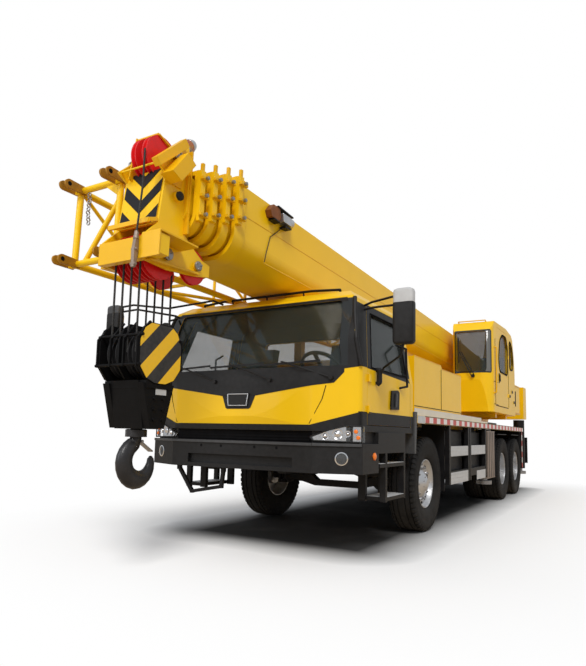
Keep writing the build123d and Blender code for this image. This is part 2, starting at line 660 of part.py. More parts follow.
# ------------------------------------------------------------------ steps, ladders and mudguards
tread = 35.0
with BuildPart() as steps:
    for side in (1, -1):
        outer = side * half_width
        inner = side * (half_width - 230)
        # Cab steps: two treads in a bent frame hung from the cab
        for front_x, tread_z in ((skirt_rear + 705, 815), (skirt_rear + 545, 490)):
            block((skirt_rear + 15, front_x), sorted((outer, inner)), (tread_z, tread_z + tread))
        for post_x in (skirt_rear, skirt_rear + 515):
            block((post_x, post_x + 45), sorted((outer, side * (half_width - 60))), (480, skirt_low))
            block((post_x, post_x + 45), span(side, half_width - 210, half_width - 290), (480, cab_bottom))
        # Two ladders between the deck's edge and the sill
        for rail_xs in ((-745, -1750), (-1860, -2880)):
            for post_x in rail_xs:
                block((front_axle_x + post_x - 35, front_axle_x + post_x + 35),
                      sorted((outer, side * (half_width - 60))),
                      (500, deck_top - deck_edge_height))
            for tread_z in (560, 860):
                block((front_axle_x + rail_xs[1] + 35, front_axle_x + rail_xs[0] - 35),
                      span(side, half_width - 5, half_width - 55), (tread_z, tread_z + 110))
    # Bent step bar under the bumper, at the crane's right
    step_bar_x = bumper_front - 95
    step_path = [(-790, bumper_low - 25), (-610, 510), (-235, 580), (-215, bumper_low - 25)]
    for (y_a, z_a), (y_b, z_b) in zip(step_path, step_path[1:]):
        bar((step_bar_x, y_a, z_a), (step_bar_x, y_b, z_b), 34)
    for y_end, z_end in (step_path[0], step_path[-1]):
        block((step_bar_x - 17, step_bar_x + 17), (y_end - 22, y_end + 22), (z_end - 20, bumper_low))
    for y_end, z_end in step_path[1:-1]:
        block((step_bar_x - 17, step_bar_x + 17), (y_end - 17, y_end + 17), (z_end - 17, z_end + 17))
keep(steps.part, "steps")

# Mudguards over the rear wheels and mud flaps
with BuildPart() as mudguards:
    for side in (1, -1):
        guard_y = span(side, 880, half_width - 65)
        block((front_axle_x - 712, front_axle_x - 700), guard_y, (420, deck_top - deck_plate))
        block((rear_axle_xs[1] - tyre_radius - 95, rear_axle_xs[1] - tyre_radius - 83),
              span(side, 600, 1215),
              (380, deck_top - deck_plate))
        for axle_x in rear_axle_xs:
            block((axle_x - 420, axle_x + 420), span(side, 590, half_width - 30), (1185, 1197))
            block((axle_x - 20, axle_x + 20), span(side, 590, 640), (1197, deck_top - deck_plate))
keep(mudguards.part, "mudguards")

# Tool boxes and tanks between the ladders and the rails
with BuildPart() as tanks:
    for side in (1, -1):
        block((front_axle_x - 1720, front_axle_x - 790), span(side, rail_outer + 20, half_width - 100),
              (560, 1200))
        block((front_axle_x - 2850, front_axle_x - 1900), span(side, rail_outer + 20, half_width - 100),
              (560, 1200))
        for bracket_x in (-1500, -1000, -2650, -2100):
            block((front_axle_x + bracket_x, front_axle_x + bracket_x + 60), span(side, rail_outer,
                                                                                  rail_outer + 20),
                  (800, 1100))
keep(tanks.part, "side_tanks")

# ------------------------------------------------------------------ boom geometry
tilt = radians(boom_tilt)
boom_way = Vector(cos(tilt), 0, sin(tilt))


def boom_point(u, v, y=0.0):
    """A point given along the boom, across it and sideways from the pivot."""
    return (pivot_x + u * cos(tilt) - v * sin(tilt), y, pivot_z + u * sin(tilt) + v * cos(tilt))


def boom_section_plane(u):
    """A plane square to the boom: local x is +Y and local y is the boom's upward side."""
    return Plane(origin=boom_point(u, 0), x_dir=(0, 1, 0), z_dir=boom_way)


def boom_side_plane(y):
    """A plane along the boom at a given Y, facing -Y."""
    return Plane(origin=(pivot_x, y, pivot_z), x_dir=boom_way, z_dir=(0, -1, 0))


def boom_plate(points, y_span, mode=Mode.ADD):
    """A plate with its outline along the boom, between two Y limits."""
    with BuildSketch(boom_side_plane(y_span[1])) as outline:
        with BuildLine():
            Polyline(*points, close=True)
        make_face()
    extrude(outline.sketch, amount=y_span[1] - y_span[0], mode=mode)


def u_section(at, half, top, belly, grow=0.0):
    """The boom's section at a distance from the pivot: flat top and sides, rounded belly."""
    bend = belly + half * 0.5
    with BuildSketch(boom_section_plane(at)) as section:
        with BuildLine():
            left_top = (-half - grow, top + grow)
            left_bend = (-half - grow, bend)
            left_belly = (-half * 0.5, belly - grow)
            right_top = (half + grow, top + grow)
            right_bend = (half + grow, bend)
            right_belly = (half * 0.5, belly - grow)
            Line(left_belly, right_belly)
            TangentArc(right_belly, right_bend, tangent=(1, 0))
            Polyline(right_bend, right_top, left_top, left_bend)
            TangentArc(left_belly, left_bend, tangent=(-1, 0))
        make_face()
    return section.sketch


# Sections from the outside in.  Columns: half width, top, belly, rear end, collar rear, collar front
step_side = 36.0
step_top = 32.0
step_belly = 34.0
base_half = 400.0
base_top = 430.0
base_belly = -245.0
collar_grow = 28.0
post_side = 34.0
collar_starts = (9700.0, 9890.0, 10030.0, 10150.0)
collar_ends = (9850.0, 9980.0, 10110.0, 10230.0)
section_table = [
    (base_half - step_side * i, base_top - step_top * i, base_belly + step_belly * i,
     150.0 * i - 300.0 * (i == 0),
     collar_starts[i] if i < 4 else 10250.0, collar_ends[i] if i < 4 else 10275.0)
    for i in range(5)
]


def boom_tube(index):
    """One section: a tube with a collar that guides the next section on two pads."""
    half, top, belly, rear, collar_rear, collar_front = section_table[index]
    extrude(u_section(rear, half, top, belly), amount=collar_front - rear)
    if index < 4:
        extrude(u_section(collar_rear, half, top, belly, collar_grow), amount=collar_front - collar_rear)
    extrude(u_section(rear - 1, half - boom_wall, top - boom_wall, belly + boom_wall),
            amount=collar_front - rear + 2, mode=Mode.SUBTRACT)
    if index < 4:
        next_half, next_top, next_belly = section_table[index + 1][:3]
        pad_top = next_belly - slide_gap
        pad_bottom = belly + boom_wall / 2
        for pad_y in (-next_half * 0.3, next_half * 0.3):
            with BuildSketch(boom_section_plane(collar_front - 80)) as pad:
                with Locations((pad_y, (pad_top + pad_bottom) / 2)):
                    Rectangle(70, pad_top - pad_bottom)
            extrude(pad.sketch, amount=70)
        # Square post of the slide's adjuster on the collar's side; the base has none beside the jib
        for side in (1, -1) if index else (1,):
            post_y = side * (half + collar_grow)
            boom_plate([(collar_front - 55, top - 410), (collar_front, top - 410), (collar_front, top + 25),
                        (collar_front - 55, top + 25)], sorted((post_y - side, post_y + side * post_side)))


# ------------------------------------------------------------------ boom base section
ram_eye_local = (ram_eye[0] * cos(tilt) + ram_eye[1] * sin(tilt),
                 -ram_eye[0] * sin(tilt) + ram_eye[1] * cos(tilt))
ear_inner = 135.0
ear_outer = 175.0
with BuildPart() as boom_base:
    boom_tube(0)
    # Pivot boss across the tail
    rod(boom_point(0, 0, -base_half - 20), boom_point(0, 0, base_half + 20), 110)
    block((pivot_x - 130, pivot_x + 130), (-base_half + boom_wall, base_half - boom_wall),
          (pivot_z - 130, pivot_z + 130), Mode.SUBTRACT)
    rod((pivot_x, -base_half - 40, pivot_z), (pivot_x, base_half + 40, pivot_z), pivot_pin_radius + pin_gap,
        Mode.SUBTRACT)
    # Ears for the luffing cylinder's rod, with a stub boss in each
    eye_u, eye_v = ram_eye_local
    for side in (1, -1):
        boom_plate([(eye_u - 420, base_belly + 4), (eye_u - 90, eye_v - 60), (eye_u - 40, eye_v - 100),
                    (eye_u + 40, eye_v - 100), (eye_u + 90, eye_v - 60), (eye_u + 420, base_belly + 4)],
                   span(side, ear_inner, ear_outer))
keep(boom_base.part, "boom_base_section")

for index, name in ((1, "second"), (2, "third"), (3, "fourth")):
    with BuildPart() as boom_section:
        boom_tube(index)
    keep(boom_section.part, f"boom_{name}_section")

# ------------------------------------------------------------------ boom head on the fifth section
head_inner = 200.0
head_plate = 22.0
sheave_radius = 190.0
sheave_width = 52.0
sheave_pitch = 88.0
rope_radius = 8.0
rope_line_radius = 173.0
head_axle = (10440.0, -415.0)
top_axle = (10415.0, 430.0)
tail_axle = (10080.0, -405.0)
top_sheave_radius = 180.0
tail_sheave_radius = 150.0
tail_sheave_y = 174.0
tail_sheave_width = 40.0
sheave_axle_radius = 30.0
rope_touch = 0.3

with BuildPart() as boom_fifth:
    boom_tube(4)
    half, top, belly, rear, collar_rear, collar_front = section_table[4]
    extrude(u_section(collar_rear, half, top, belly), amount=collar_front - collar_rear)
    for side in (1, -1):
        cheek = span(side, head_inner, head_inner + head_plate)
        boom_plate([(10245, 300), (10250, 560), (10330, 560), (10600, 290), (10500, 235), (10545, -190),
                    (10690, -340),
                    (10690, -520), (10400, -530), (10080, -490), (9905, -450), (9905, -350), (10010, -330),
                    (10180, -235), (10240, -185)], cheek)
        # Pin boss on the cheek
        rod(boom_point(10365, 90, side * head_inner),
            boom_point(10365, 90, side * (head_inner + head_plate + 28)), 42)
        tail_axle_end = side * (head_inner + head_plate + 20)
        rod(boom_point(*tail_axle, side * (tail_sheave_y - 22)), boom_point(*tail_axle, tail_axle_end),
            sheave_axle_radius)
    # Front board between the cheeks, and the low front beam
    boom_plate([(10470, 235), (10492, 238), (10548, -190), (10526, -192)], (-head_inner, head_inner))
    boom_plate([(10650, -520), (10690, -520), (10690, -365), (10650, -365)], (-head_inner, head_inner))
    # Switch box outside the left cheek
    boom_plate([(10590, -505), (10690, -505), (10690, -350), (10590, -350)], (head_inner + head_plate - 1,
                                                                              head_inner + 200))
    # Rope guards round the sheaves
    for guard in ((10262, 548), (10570, 300), (10400, -205), (10640, -350)):
        rod(boom_point(*guard, -head_inner - 5), boom_point(*guard, head_inner + 5), rope_radius)
    # Axles of the head's and the top's sheaves
    for axle in (head_axle, top_axle):
        rod(boom_point(*axle, -head_inner - head_plate - 20),
            boom_point(*axle, head_inner + head_plate + 20), sheave_axle_radius)
keep(boom_fifth.part, "boom_fifth_section")


def sheave(axle, centre_y, radius, on_boom=True, width=sheave_width):
    """A rope sheave with a groove, turned about an axle across the boom."""
    if on_boom:
        plane = Plane(origin=boom_point(*axle), x_dir=(0, 1, 0), z_dir=boom_way)
        line = Axis(boom_point(*axle), (0, 1, 0))
    else:
        plane = Plane(origin=axle, x_dir=(0, 1, 0), z_dir=(1, 0, 0))
        line = Axis(axle, (0, 1, 0))
    half = width / 2
    groove = radius - (sheave_radius - rope_line_radius) - rope_radius - rope_touch
    with BuildSketch(plane) as section:
        with BuildLine():
            Polyline((centre_y - half, sheave_axle_radius + pin_gap), (centre_y - half, radius),
                     (centre_y - half + 8, radius),
                     (centre_y - 10, groove), (centre_y + 10, groove), (centre_y + half - 8, radius),
                     (centre_y + half, radius), (centre_y + half, sheave_axle_radius + pin_gap), close=True)
        make_face()
    revolve(section.sketch, axis=line)


sheave_ys = [sheave_pitch * (i - 1.5) for i in range(4)]
with BuildPart() as head_sheaves:
    for centre_y in sheave_ys:
        sheave(head_axle, centre_y, sheave_radius)
    for side in (1, -1):
        sheave(top_axle, side * 60, top_sheave_radius)
        sheave(tail_axle, side * tail_sheave_y, tail_sheave_radius, width=tail_sheave_width)
keep(head_sheaves.part, "head_sheaves")

# ------------------------------------------------------------------ hook block, ropes and hook
head_point = boom_point(*head_axle)
block_x = head_point[0]
block_axle_z = 1705.0
block_body_top = block_axle_z - sheave_radius - 20
block_plate = [(block_x + x, block_axle_z + z) for x, z in
               ((-115, 230), (115, 230), (180, 185), (225, 90), (225, -105), (150, -200), (60, -235),
                (-60, -235), (-150, -200), (-225, -105), (-225, 90), (-180, 185))]
with BuildPart() as hook_block:
    # Two outer plates and a middle one, with round corners
    for plate_y in ((-222, -198), (-8, 8), (198, 222)):
        plate_xz(block_plate, plate_y, rounding=30)
    # Lower body that carries the hook's swivel
    plate_xz([(block_x - 150, block_body_top), (block_x - 85, 1130), (block_x + 85, 1130),
              (block_x + 150, block_body_top)],
             (-150, 150))
    block((block_x - 140, block_x + 140), (-222, 222), (block_body_top - 60, block_body_top))
    rod((block_x, -240, block_axle_z), (block_x, 240, block_axle_z), sheave_axle_radius)
    for centre_y in sheave_ys:
        sheave((block_x, 0, block_axle_z), centre_y, sheave_radius, on_boom=False)
    rod((block_x, 0, 1129), (block_x, 0, 1300), 45 + pin_gap, Mode.SUBTRACT)
    # Rope falls up to the head's sheaves
    for centre_y in sheave_ys:
        for fall_x in (block_x - rope_line_radius, block_x + rope_line_radius):
            rod((fall_x, centre_y, block_axle_z), (fall_x, centre_y, head_point[2]), rope_radius)
keep(hook_block.part, "hook_block")

hook_z = 875.0
with BuildPart() as hook:
    rod((block_x, 0, hook_z + 220), (block_x, 0, 1290), 45)
    rod((block_x, 0, 1070), (block_x, 0, 1120), 80)
    with BuildSketch(Plane.XZ) as hook_face:
        with Locations((block_x + 10, hook_z)):
            Circle(200)
        with Locations((block_x - 62, hook_z + 30)):
            Circle(100, mode=Mode.SUBTRACT)
        # Throat, open to the rear above the point
        with Locations((block_x - 165, hook_z + 225)):
            Rectangle(240, 240, mode=Mode.SUBTRACT)
        with BuildLine():
            Polyline((block_x - 50, hook_z + 235), (block_x + 50, hook_z + 235),
                     (block_x + 120, hook_z + 150),
                     (block_x + 60, hook_z + 90), (block_x - 44, hook_z + 145), close=True)
        make_face()
    extrude(amount=50, both=True)
keep(hook.part, "hook")

# ------------------------------------------------------------------ jib, stowed along the boom's right side
jib_root_u = 10330.0
jib_tip_u = 2600.0
jib_root = (-475.0, -1000.0, 400.0, -300.0)     # inner y, outer y, upper v, lower v at the root
jib_tip = (-500.0, -760.0, 120.0, -120.0)       # the same at the tip
jib_panels = 8
chord = 62.0
lacing = 34.0


def jib_corner(share, across, up):
    """A chord's centre at a share of the jib's length from its root."""
    y = [root + (tip - root) * share for root, tip in zip(jib_root[:2], jib_tip[:2])][across]
    v = [root + (tip - root) * share for root, tip in zip(jib_root[2:], jib_tip[2:])][up]
    return boom_point(jib_root_u + (jib_tip_u - jib_root_u) * share, v, y)


with BuildPart() as jib:
    for across in (0, 1):
        for up in (0, 1):
            bar(jib_corner(0, across, up), jib_corner(1, across, up), chord)
    for panel in range(jib_panels + 1):
        share = panel / jib_panels
        ring = [jib_corner(share, 0, 0), jib_corner(share, 1, 0), jib_corner(share, 1, 1),
                jib_corner(share, 0, 1)]
        for start, end in zip(ring, ring[1:] + ring[:1]):
            bar(start, end, chord if panel in (0, jib_panels) else lacing)
    for panel in range(jib_panels):
        near = panel / jib_panels
        far = (panel + 1) / jib_panels
        for across in (0, 1):
            bar(jib_corner(near, across, panel % 2), jib_corner(far, across, 1 - panel % 2), lacing)
        for up in (0, 1):
            bar(jib_corner(near, panel % 2, up), jib_corner(far, 1 - panel % 2, up), lacing)
    # Twin fork lugs on the root's four corners, with pin holes across
    for across in (0, 1):
        for up in (0, 1):
            y, v = jib_root[across], jib_root[2 + up]
            for lug_y in (y - 38, y + 38):
                boom_plate([(jib_root_u - 20, v - 36), (jib_root_u + 190, v - 36), (jib_root_u + 225, v),
                            (jib_root_u + 190, v + 36), (jib_root_u - 20, v + 36)], (lug_y - 11,
                                                                                     lug_y + 11))
            rod(boom_point(jib_root_u + 165, v, y - 60), boom_point(jib_root_u + 165, v, y + 60), 20,
                Mode.SUBTRACT)
    # Brackets to the boom's side, at the top chord and half way down a post
    for share in (2 / jib_panels, (jib_panels - 1) / jib_panels):
        high = Vector(*jib_corner(share, 0, 0))
        low = Vector(*jib_corner(share, 0, 1))
        for corner in (high, (high + low) * 0.5):
            bar(tuple(corner), (corner.X, -base_half, corner.Z), 60)
keep(jib.part, "lattice_jib")

# ------------------------------------------------------------------ turntable
ram_base_x = pivot_x + ram_base[0]
ram_base_z = pivot_z + ram_base[1]
with BuildPart() as turntable:
    rod((slew_x, 0, turntable_bottom), (slew_x, 0, turntable_top), ring_radius)
    plate_xy([(slew_x + 800, -560), (slew_x + 800, 560), (slew_x - 1940, 600), (slew_x - 1940, -600)],
             (turntable_bottom, turntable_top))
    # Cheeks; behind the plate their lower edge rises over the rear jacks
    cheek_rear = slew_x - 2350
    cheek_points = [(slew_x + 700, turntable_top), (slew_x + 700, 1640), (slew_x - 150, 1780),
                    (pivot_x + 520, 2300),
                    (pivot_x + 230, pivot_z + 190), (pivot_x - 150, pivot_z + 230), (pivot_x - 300,
                                                                                     pivot_z + 60),
                    (cheek_rear, 1900), (cheek_rear, tail_bottom), (slew_x - 2050, tail_bottom),
                    (slew_x - 1940, turntable_top)]
    for side in (1, -1):
        plate_xz(cheek_points, span(side, cheek_inner, cheek_inner + cheek_thickness))
        # Boss of the cylinder's foot
        rod((ram_base_x, side * 150, ram_base_z), (ram_base_x, side * cheek_inner, ram_base_z), 70)
    # Pins of the boom and of the cylinder
    rod((pivot_x, -cheek_inner, pivot_z), (pivot_x, cheek_inner, pivot_z), pivot_pin_radius)
    rod((ram_base_x, -cheek_inner, ram_base_z), (ram_base_x, cheek_inner, ram_base_z), ram_pin_radius)
    # Bearers of the operator's cab
    for bearer_x in (slew_x + 500, slew_x - 500):
        block((bearer_x - 60, bearer_x + 60), (cheek_inner, operator_outer - 120), (operator_bottom - 80,
                                                                                    operator_bottom))
    # Oil tank on the left cheek, behind the operator's cab
    block((operator_rear - 750, operator_rear - 50), (cheek_inner + cheek_thickness - 1, half_width - 60),
          (operator_bottom + 60, operator_bottom + 680))
    # Winches between the cheeks
    for winch_x, winch_z in ((pivot_x - 20, 1790.0), (pivot_x + 470, 1740.0)):
        rod((winch_x, -cheek_inner, winch_z), (winch_x, cheek_inner, winch_z), 60)
        rod((winch_x, -330, winch_z), (winch_x, 330, winch_z), 165)
        for side in (1, -1):
            rod((winch_x, side * 330, winch_z), (winch_x, side * 352, winch_z), 215)
keep(turntable.part, "turntable")

with BuildPart() as counterweight:
    nose = slew_x - 2350 - 15
    plate_xy([(nose, -1180), (nose, 1180), (tail_x + 160, 1180), (tail_x, 900), (tail_x, -900),
              (tail_x + 160, -1180)],
             (tail_bottom, tail_top))
    block((nose - 1, nose + 15), (-500, 500), (tail_bottom, 1880))
keep(counterweight.part, "counterweight")

# ------------------------------------------------------------------ luffing cylinder
ram_way = Vector(ram_eye[0] - ram_base[0], 0, ram_eye[1] - ram_base[1]).normalized()
ram_length = hypot(ram_eye[0] - ram_base[0], ram_eye[1] - ram_base[1])


def ram_point(distance, y=0.0):
    """A point on the cylinder's centre line, from its foot pin."""
    return (ram_base_x + ram_way.X * distance, y, ram_base_z + ram_way.Z * distance)


barrel_end = ram_length - 120.0
bore_start = 100.0
barrel_gland = 40.0
with BuildPart() as barrel:
    rod(ram_point(0), ram_point(barrel_end), ram_barrel_radius)
    rod(ram_point(0, -145), ram_point(0, 145), 80)
    rod(ram_point(bore_start), ram_point(barrel_end - barrel_gland), ram_bore_radius, Mode.SUBTRACT)
    rod(ram_point(bore_start), ram_point(barrel_end + 1), ram_rod_radius + pin_gap, Mode.SUBTRACT)
    rod(ram_point(0, -146), ram_point(0, 146), ram_pin_radius + pin_gap, Mode.SUBTRACT)
keep(barrel.part, "luffing_barrel")

with BuildPart() as ram_rod:
    rod(ram_point(bore_start + 5), ram_point(ram_length), ram_rod_radius)
    rod(ram_point(bore_start + 5), ram_point(bore_start + 65), ram_bore_radius - pin_gap)
    rod(ram_point(ram_length, -ear_inner + 8), ram_point(ram_length, ear_inner - 8), 85)
keep(ram_rod.part, "luffing_rod")

# ------------------------------------------------------------------ deck, with the boom's rest behind the cab
rest_x = (hood_front + 40, hood_front + 140)
belly_at_rest = boom_point((rest_x[0] - pivot_x) / cos(tilt), base_belly)[2]
with BuildPart() as deck:
    notch_x = rear_box_x + box_half + 60
    notch_y = 940.0
    outline = [(deck_front, -half_width), (notch_x, -half_width), (notch_x, -notch_y),
               (deck_rear, -notch_y),
               (deck_rear, notch_y), (notch_x, notch_y), (notch_x, half_width), (deck_front, half_width)]
    plate_xy(outline, (deck_top - deck_plate, deck_top))
    edge = 25.0
    for side in (1, -1):
        block((notch_x, deck_front), span(side, half_width - edge, half_width),
              (deck_top - deck_edge_height, deck_top - deck_plate))
        # Rails' packers that carry the plate
        block((deck_rear, deck_front - 10), span(side, rail_inner, rail_outer),
              (rail_top, deck_top - deck_plate))
    block((deck_front - edge, deck_front), (-half_width, half_width), (deck_top - deck_edge_height,
                                                                       deck_top - deck_plate))
    # Light plinth under the hood, open inside
    block((plinth_rear, hood_front), (-hood_half_width, hood_half_width), (deck_top, plinth_top))
    block((plinth_rear + 30, hood_front - 30), (-hood_half_width + 30, hood_half_width - 30),
          (deck_top, plinth_top - 20), Mode.SUBTRACT)
    block((hood_rear + 40, hood_front - 40), (-hood_half_width + 40, hood_half_width - 40),
          (deck_top, plinth_top + 1), Mode.SUBTRACT)
    # Holes for the engine and the slewing ring
    block(deck_hole_x, (-deck_hole_half, deck_hole_half), (rail_top - 1, deck_top + 1), Mode.SUBTRACT)
    rod((slew_x, 0, rail_top - 1), (slew_x, 0, deck_top + 1), ring_radius, Mode.SUBTRACT)
    # Rest: two posts, a beam and a pad just under the boom
    for side in (1, -1):
        block(rest_x, span(side, 300, 400), (deck_top, belly_at_rest - 140))
    block(rest_x, (-430, 430), (belly_at_rest - 140, belly_at_rest - 60))
    block(rest_x, (-200, 200), (belly_at_rest - 60, belly_at_rest - 12))
keep(deck.part, "deck")


# ------------------------------------------------------------------ operator's cab
def operator_form(inset):
    """The operator's cab, shrunk by an inset: side outline cut by a rounded plan."""
    with BuildPart() as form:
        plate_xz([(operator_front - 60 - inset, operator_bottom + inset), (operator_front - inset,
                                                                           operator_bottom + 560),
                  (operator_front - 40 - inset, operator_top - 260), (operator_front - 250,
                                                                      operator_top - 40 - inset),
                  (operator_front - 1370, operator_top - inset), (operator_rear + 560,
                                                                  operator_top - 50 - inset),
                  (operator_rear + 420 + inset * 0.5,
                   operator_top - 130 - inset), (operator_rear + 290 + inset, operator_top - 430),
                  (operator_rear + inset, operator_bottom + inset)],
                 (operator_inner + inset, operator_outer - inset))
        with BuildSketch(Plane.XY.offset(operator_bottom - 10)) as plan:
            with Locations(((operator_front + operator_rear) / 2, (operator_inner + operator_outer) / 2)):
                RectangleRounded(operator_front - operator_rear - 2 * inset,
                                 operator_outer - operator_inner - 2 * inset, 230 - inset)
        extrude(amount=operator_top, mode=Mode.INTERSECT)
    return form.part


operator_reach = (operator_outer - 200, operator_outer + 20)
operator_door_points = [(operator_rear + 950, operator_bottom + 130), (operator_front - 330,
                                                                       operator_bottom + 130),
                        (operator_front - 330, operator_top - 330), (operator_front - 480,
                                                                     operator_top - 120),
                        (operator_rear + 1100, operator_top - 110), (operator_rear + 950,
                                                                     operator_top - 290)]
operator_window_points = [(operator_rear + 1020, 2340), (operator_front - 690, 2340), (operator_front - 590,
                                                                                       2560),
                          (operator_front - 720, 2930), (operator_front - 960, operator_top - 180),
                          (operator_rear + 1130, operator_top - 180), (operator_rear + 1005,
                                                                       operator_top - 350)]
operator_rear_window = [(operator_rear + 370, 2640), (operator_rear + 450, 2500),
                        (operator_rear + 790, 2480),
                        (operator_rear + 790, operator_top - 200), (operator_rear + 650,
                                                                    operator_top - 200),
                        (operator_rear + 470, operator_top - 320)]
arch_rounding = 55.0
operator_screen = [(operator_inner + 95, 2290), (operator_outer - 95, 2290),
                   (operator_outer - 95, operator_top - 240),
                   (operator_inner + 95, operator_top - 240)]
operator_solid = operator_form(0)
operator_hollow = operator_form(operator_wall)
operator_glass_out = operator_form(15)
operator_glass_in = operator_form(25)

with BuildPart() as operator_shell:
    add(operator_solid)
    add(operator_hollow, mode=Mode.SUBTRACT)
    plate_yz(operator_screen, (operator_front - 200, operator_front + 20), Mode.SUBTRACT, arch_rounding)
    plate_xz(operator_rear_window, operator_reach, Mode.SUBTRACT, rounding=arch_rounding)
    plate_xz(operator_door_points, operator_reach, Mode.SUBTRACT, grow=door_gap)
keep(operator_shell.part, "operator_cab_shell")

with BuildPart() as operator_glass:
    plate_yz(operator_screen, (operator_front - 200, operator_front + 20), rounding=arch_rounding)
    plate_xz(operator_rear_window, operator_reach, rounding=arch_rounding)
    add(operator_glass_out, mode=Mode.INTERSECT)
    add(operator_glass_in, mode=Mode.SUBTRACT)
keep(operator_glass.part, "operator_cab_glass")

with BuildPart() as operator_door:
    plate_xz(operator_door_points, operator_reach)
    add(operator_solid, mode=Mode.INTERSECT)
    add(operator_hollow, mode=Mode.SUBTRACT)
    plate_xz(operator_window_points, operator_reach, Mode.SUBTRACT, rounding=arch_rounding)
    # Round hinge barrels on the door's rear edge, each on a strap
    operator_hinge_y = operator_outer + hinge_radius
    for share in (0.2, 0.65):
        strap_z = operator_bottom + (operator_top - operator_bottom) * share
        rod((operator_rear + 950, operator_hinge_y, strap_z), (operator_rear + 950, operator_hinge_y,
                                                               strap_z + 70), hinge_radius - 1)
        block((operator_rear + 950, operator_rear + 1000), (operator_outer - 20, operator_hinge_y),
              (strap_z, strap_z + 70))
keep(operator_door.part, "operator_cab_door")

with BuildPart() as operator_door_glass:
    plate_xz(operator_window_points, operator_reach, rounding=arch_rounding)
    add(operator_glass_out, mode=Mode.INTERSECT)
    add(operator_glass_in, mode=Mode.SUBTRACT)
keep(operator_door_glass.part, "operator_door_glass")

operator_floor = operator_bottom + operator_wall
with BuildPart() as operator_seat:
    middle_y = (operator_inner + operator_outer) / 2
    block((operator_rear + 700, operator_rear + 1180), (middle_y - 230, middle_y + 230),
          (operator_floor, 2080))
    plate_xz([(operator_rear + 700, 2080), (operator_rear + 840, 2080), (operator_rear + 720, 2750),
              (operator_rear + 600, 2750)],
             (middle_y - 220, middle_y + 220))
    block((operator_front - 420, operator_front - 260), (middle_y - 180, middle_y + 180),
          (operator_floor, 2250))
keep(operator_seat.part, "operator_seat")
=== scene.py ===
"""Look of the truck crane: materials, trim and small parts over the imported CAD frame, in metres."""
import math

import bmesh
import bpy
from mathutils import Matrix, Vector


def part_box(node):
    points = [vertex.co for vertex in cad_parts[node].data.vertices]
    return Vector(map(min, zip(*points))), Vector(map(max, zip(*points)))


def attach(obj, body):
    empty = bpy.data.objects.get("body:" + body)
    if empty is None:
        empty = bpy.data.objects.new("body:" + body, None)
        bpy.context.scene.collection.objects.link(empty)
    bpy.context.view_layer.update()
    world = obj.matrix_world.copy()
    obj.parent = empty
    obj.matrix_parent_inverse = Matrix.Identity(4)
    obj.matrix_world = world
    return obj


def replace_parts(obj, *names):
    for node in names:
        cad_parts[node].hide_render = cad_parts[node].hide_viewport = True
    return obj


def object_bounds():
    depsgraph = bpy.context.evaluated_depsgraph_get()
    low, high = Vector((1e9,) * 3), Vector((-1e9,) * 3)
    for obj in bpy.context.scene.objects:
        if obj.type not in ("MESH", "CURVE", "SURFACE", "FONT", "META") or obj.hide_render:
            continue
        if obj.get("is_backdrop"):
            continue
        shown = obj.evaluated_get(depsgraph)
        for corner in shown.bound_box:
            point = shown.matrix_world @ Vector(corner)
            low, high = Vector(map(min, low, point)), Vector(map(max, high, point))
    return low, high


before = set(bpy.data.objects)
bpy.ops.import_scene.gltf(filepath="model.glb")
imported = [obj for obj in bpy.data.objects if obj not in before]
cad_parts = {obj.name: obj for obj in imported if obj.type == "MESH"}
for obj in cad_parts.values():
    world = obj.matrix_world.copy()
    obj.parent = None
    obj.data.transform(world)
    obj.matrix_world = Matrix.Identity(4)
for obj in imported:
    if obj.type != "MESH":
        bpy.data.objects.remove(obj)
cad_low, cad_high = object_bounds()


# ------------------------------------------------------------------ places taken from the CAD
def centre_of(node):
    low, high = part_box(node)
    return (Vector(low) + Vector(high)) / 2


axle = centre_of("front_tyre_left")
FX = axle.x                      # front axle
AZ = axle.z                      # axle height
REAR_XS = [centre_of("second_tyres_left").x, centre_of("third_tyres_left").x]
PIVOT = Vector((FX - 6.85, 0, 2.56))
TILT = math.radians(1.9)
ALONG = Vector((math.cos(TILT), 0, math.sin(TILT)))
UP = Vector((-math.sin(TILT), 0, math.cos(TILT)))
SIDE = Vector((0, 1, 0))


def on_boom(u, v, y=0.0):
    """A point along the boom, across it and sideways, from the pivot."""
    return PIVOT + ALONG * u + UP * v + SIDE * y


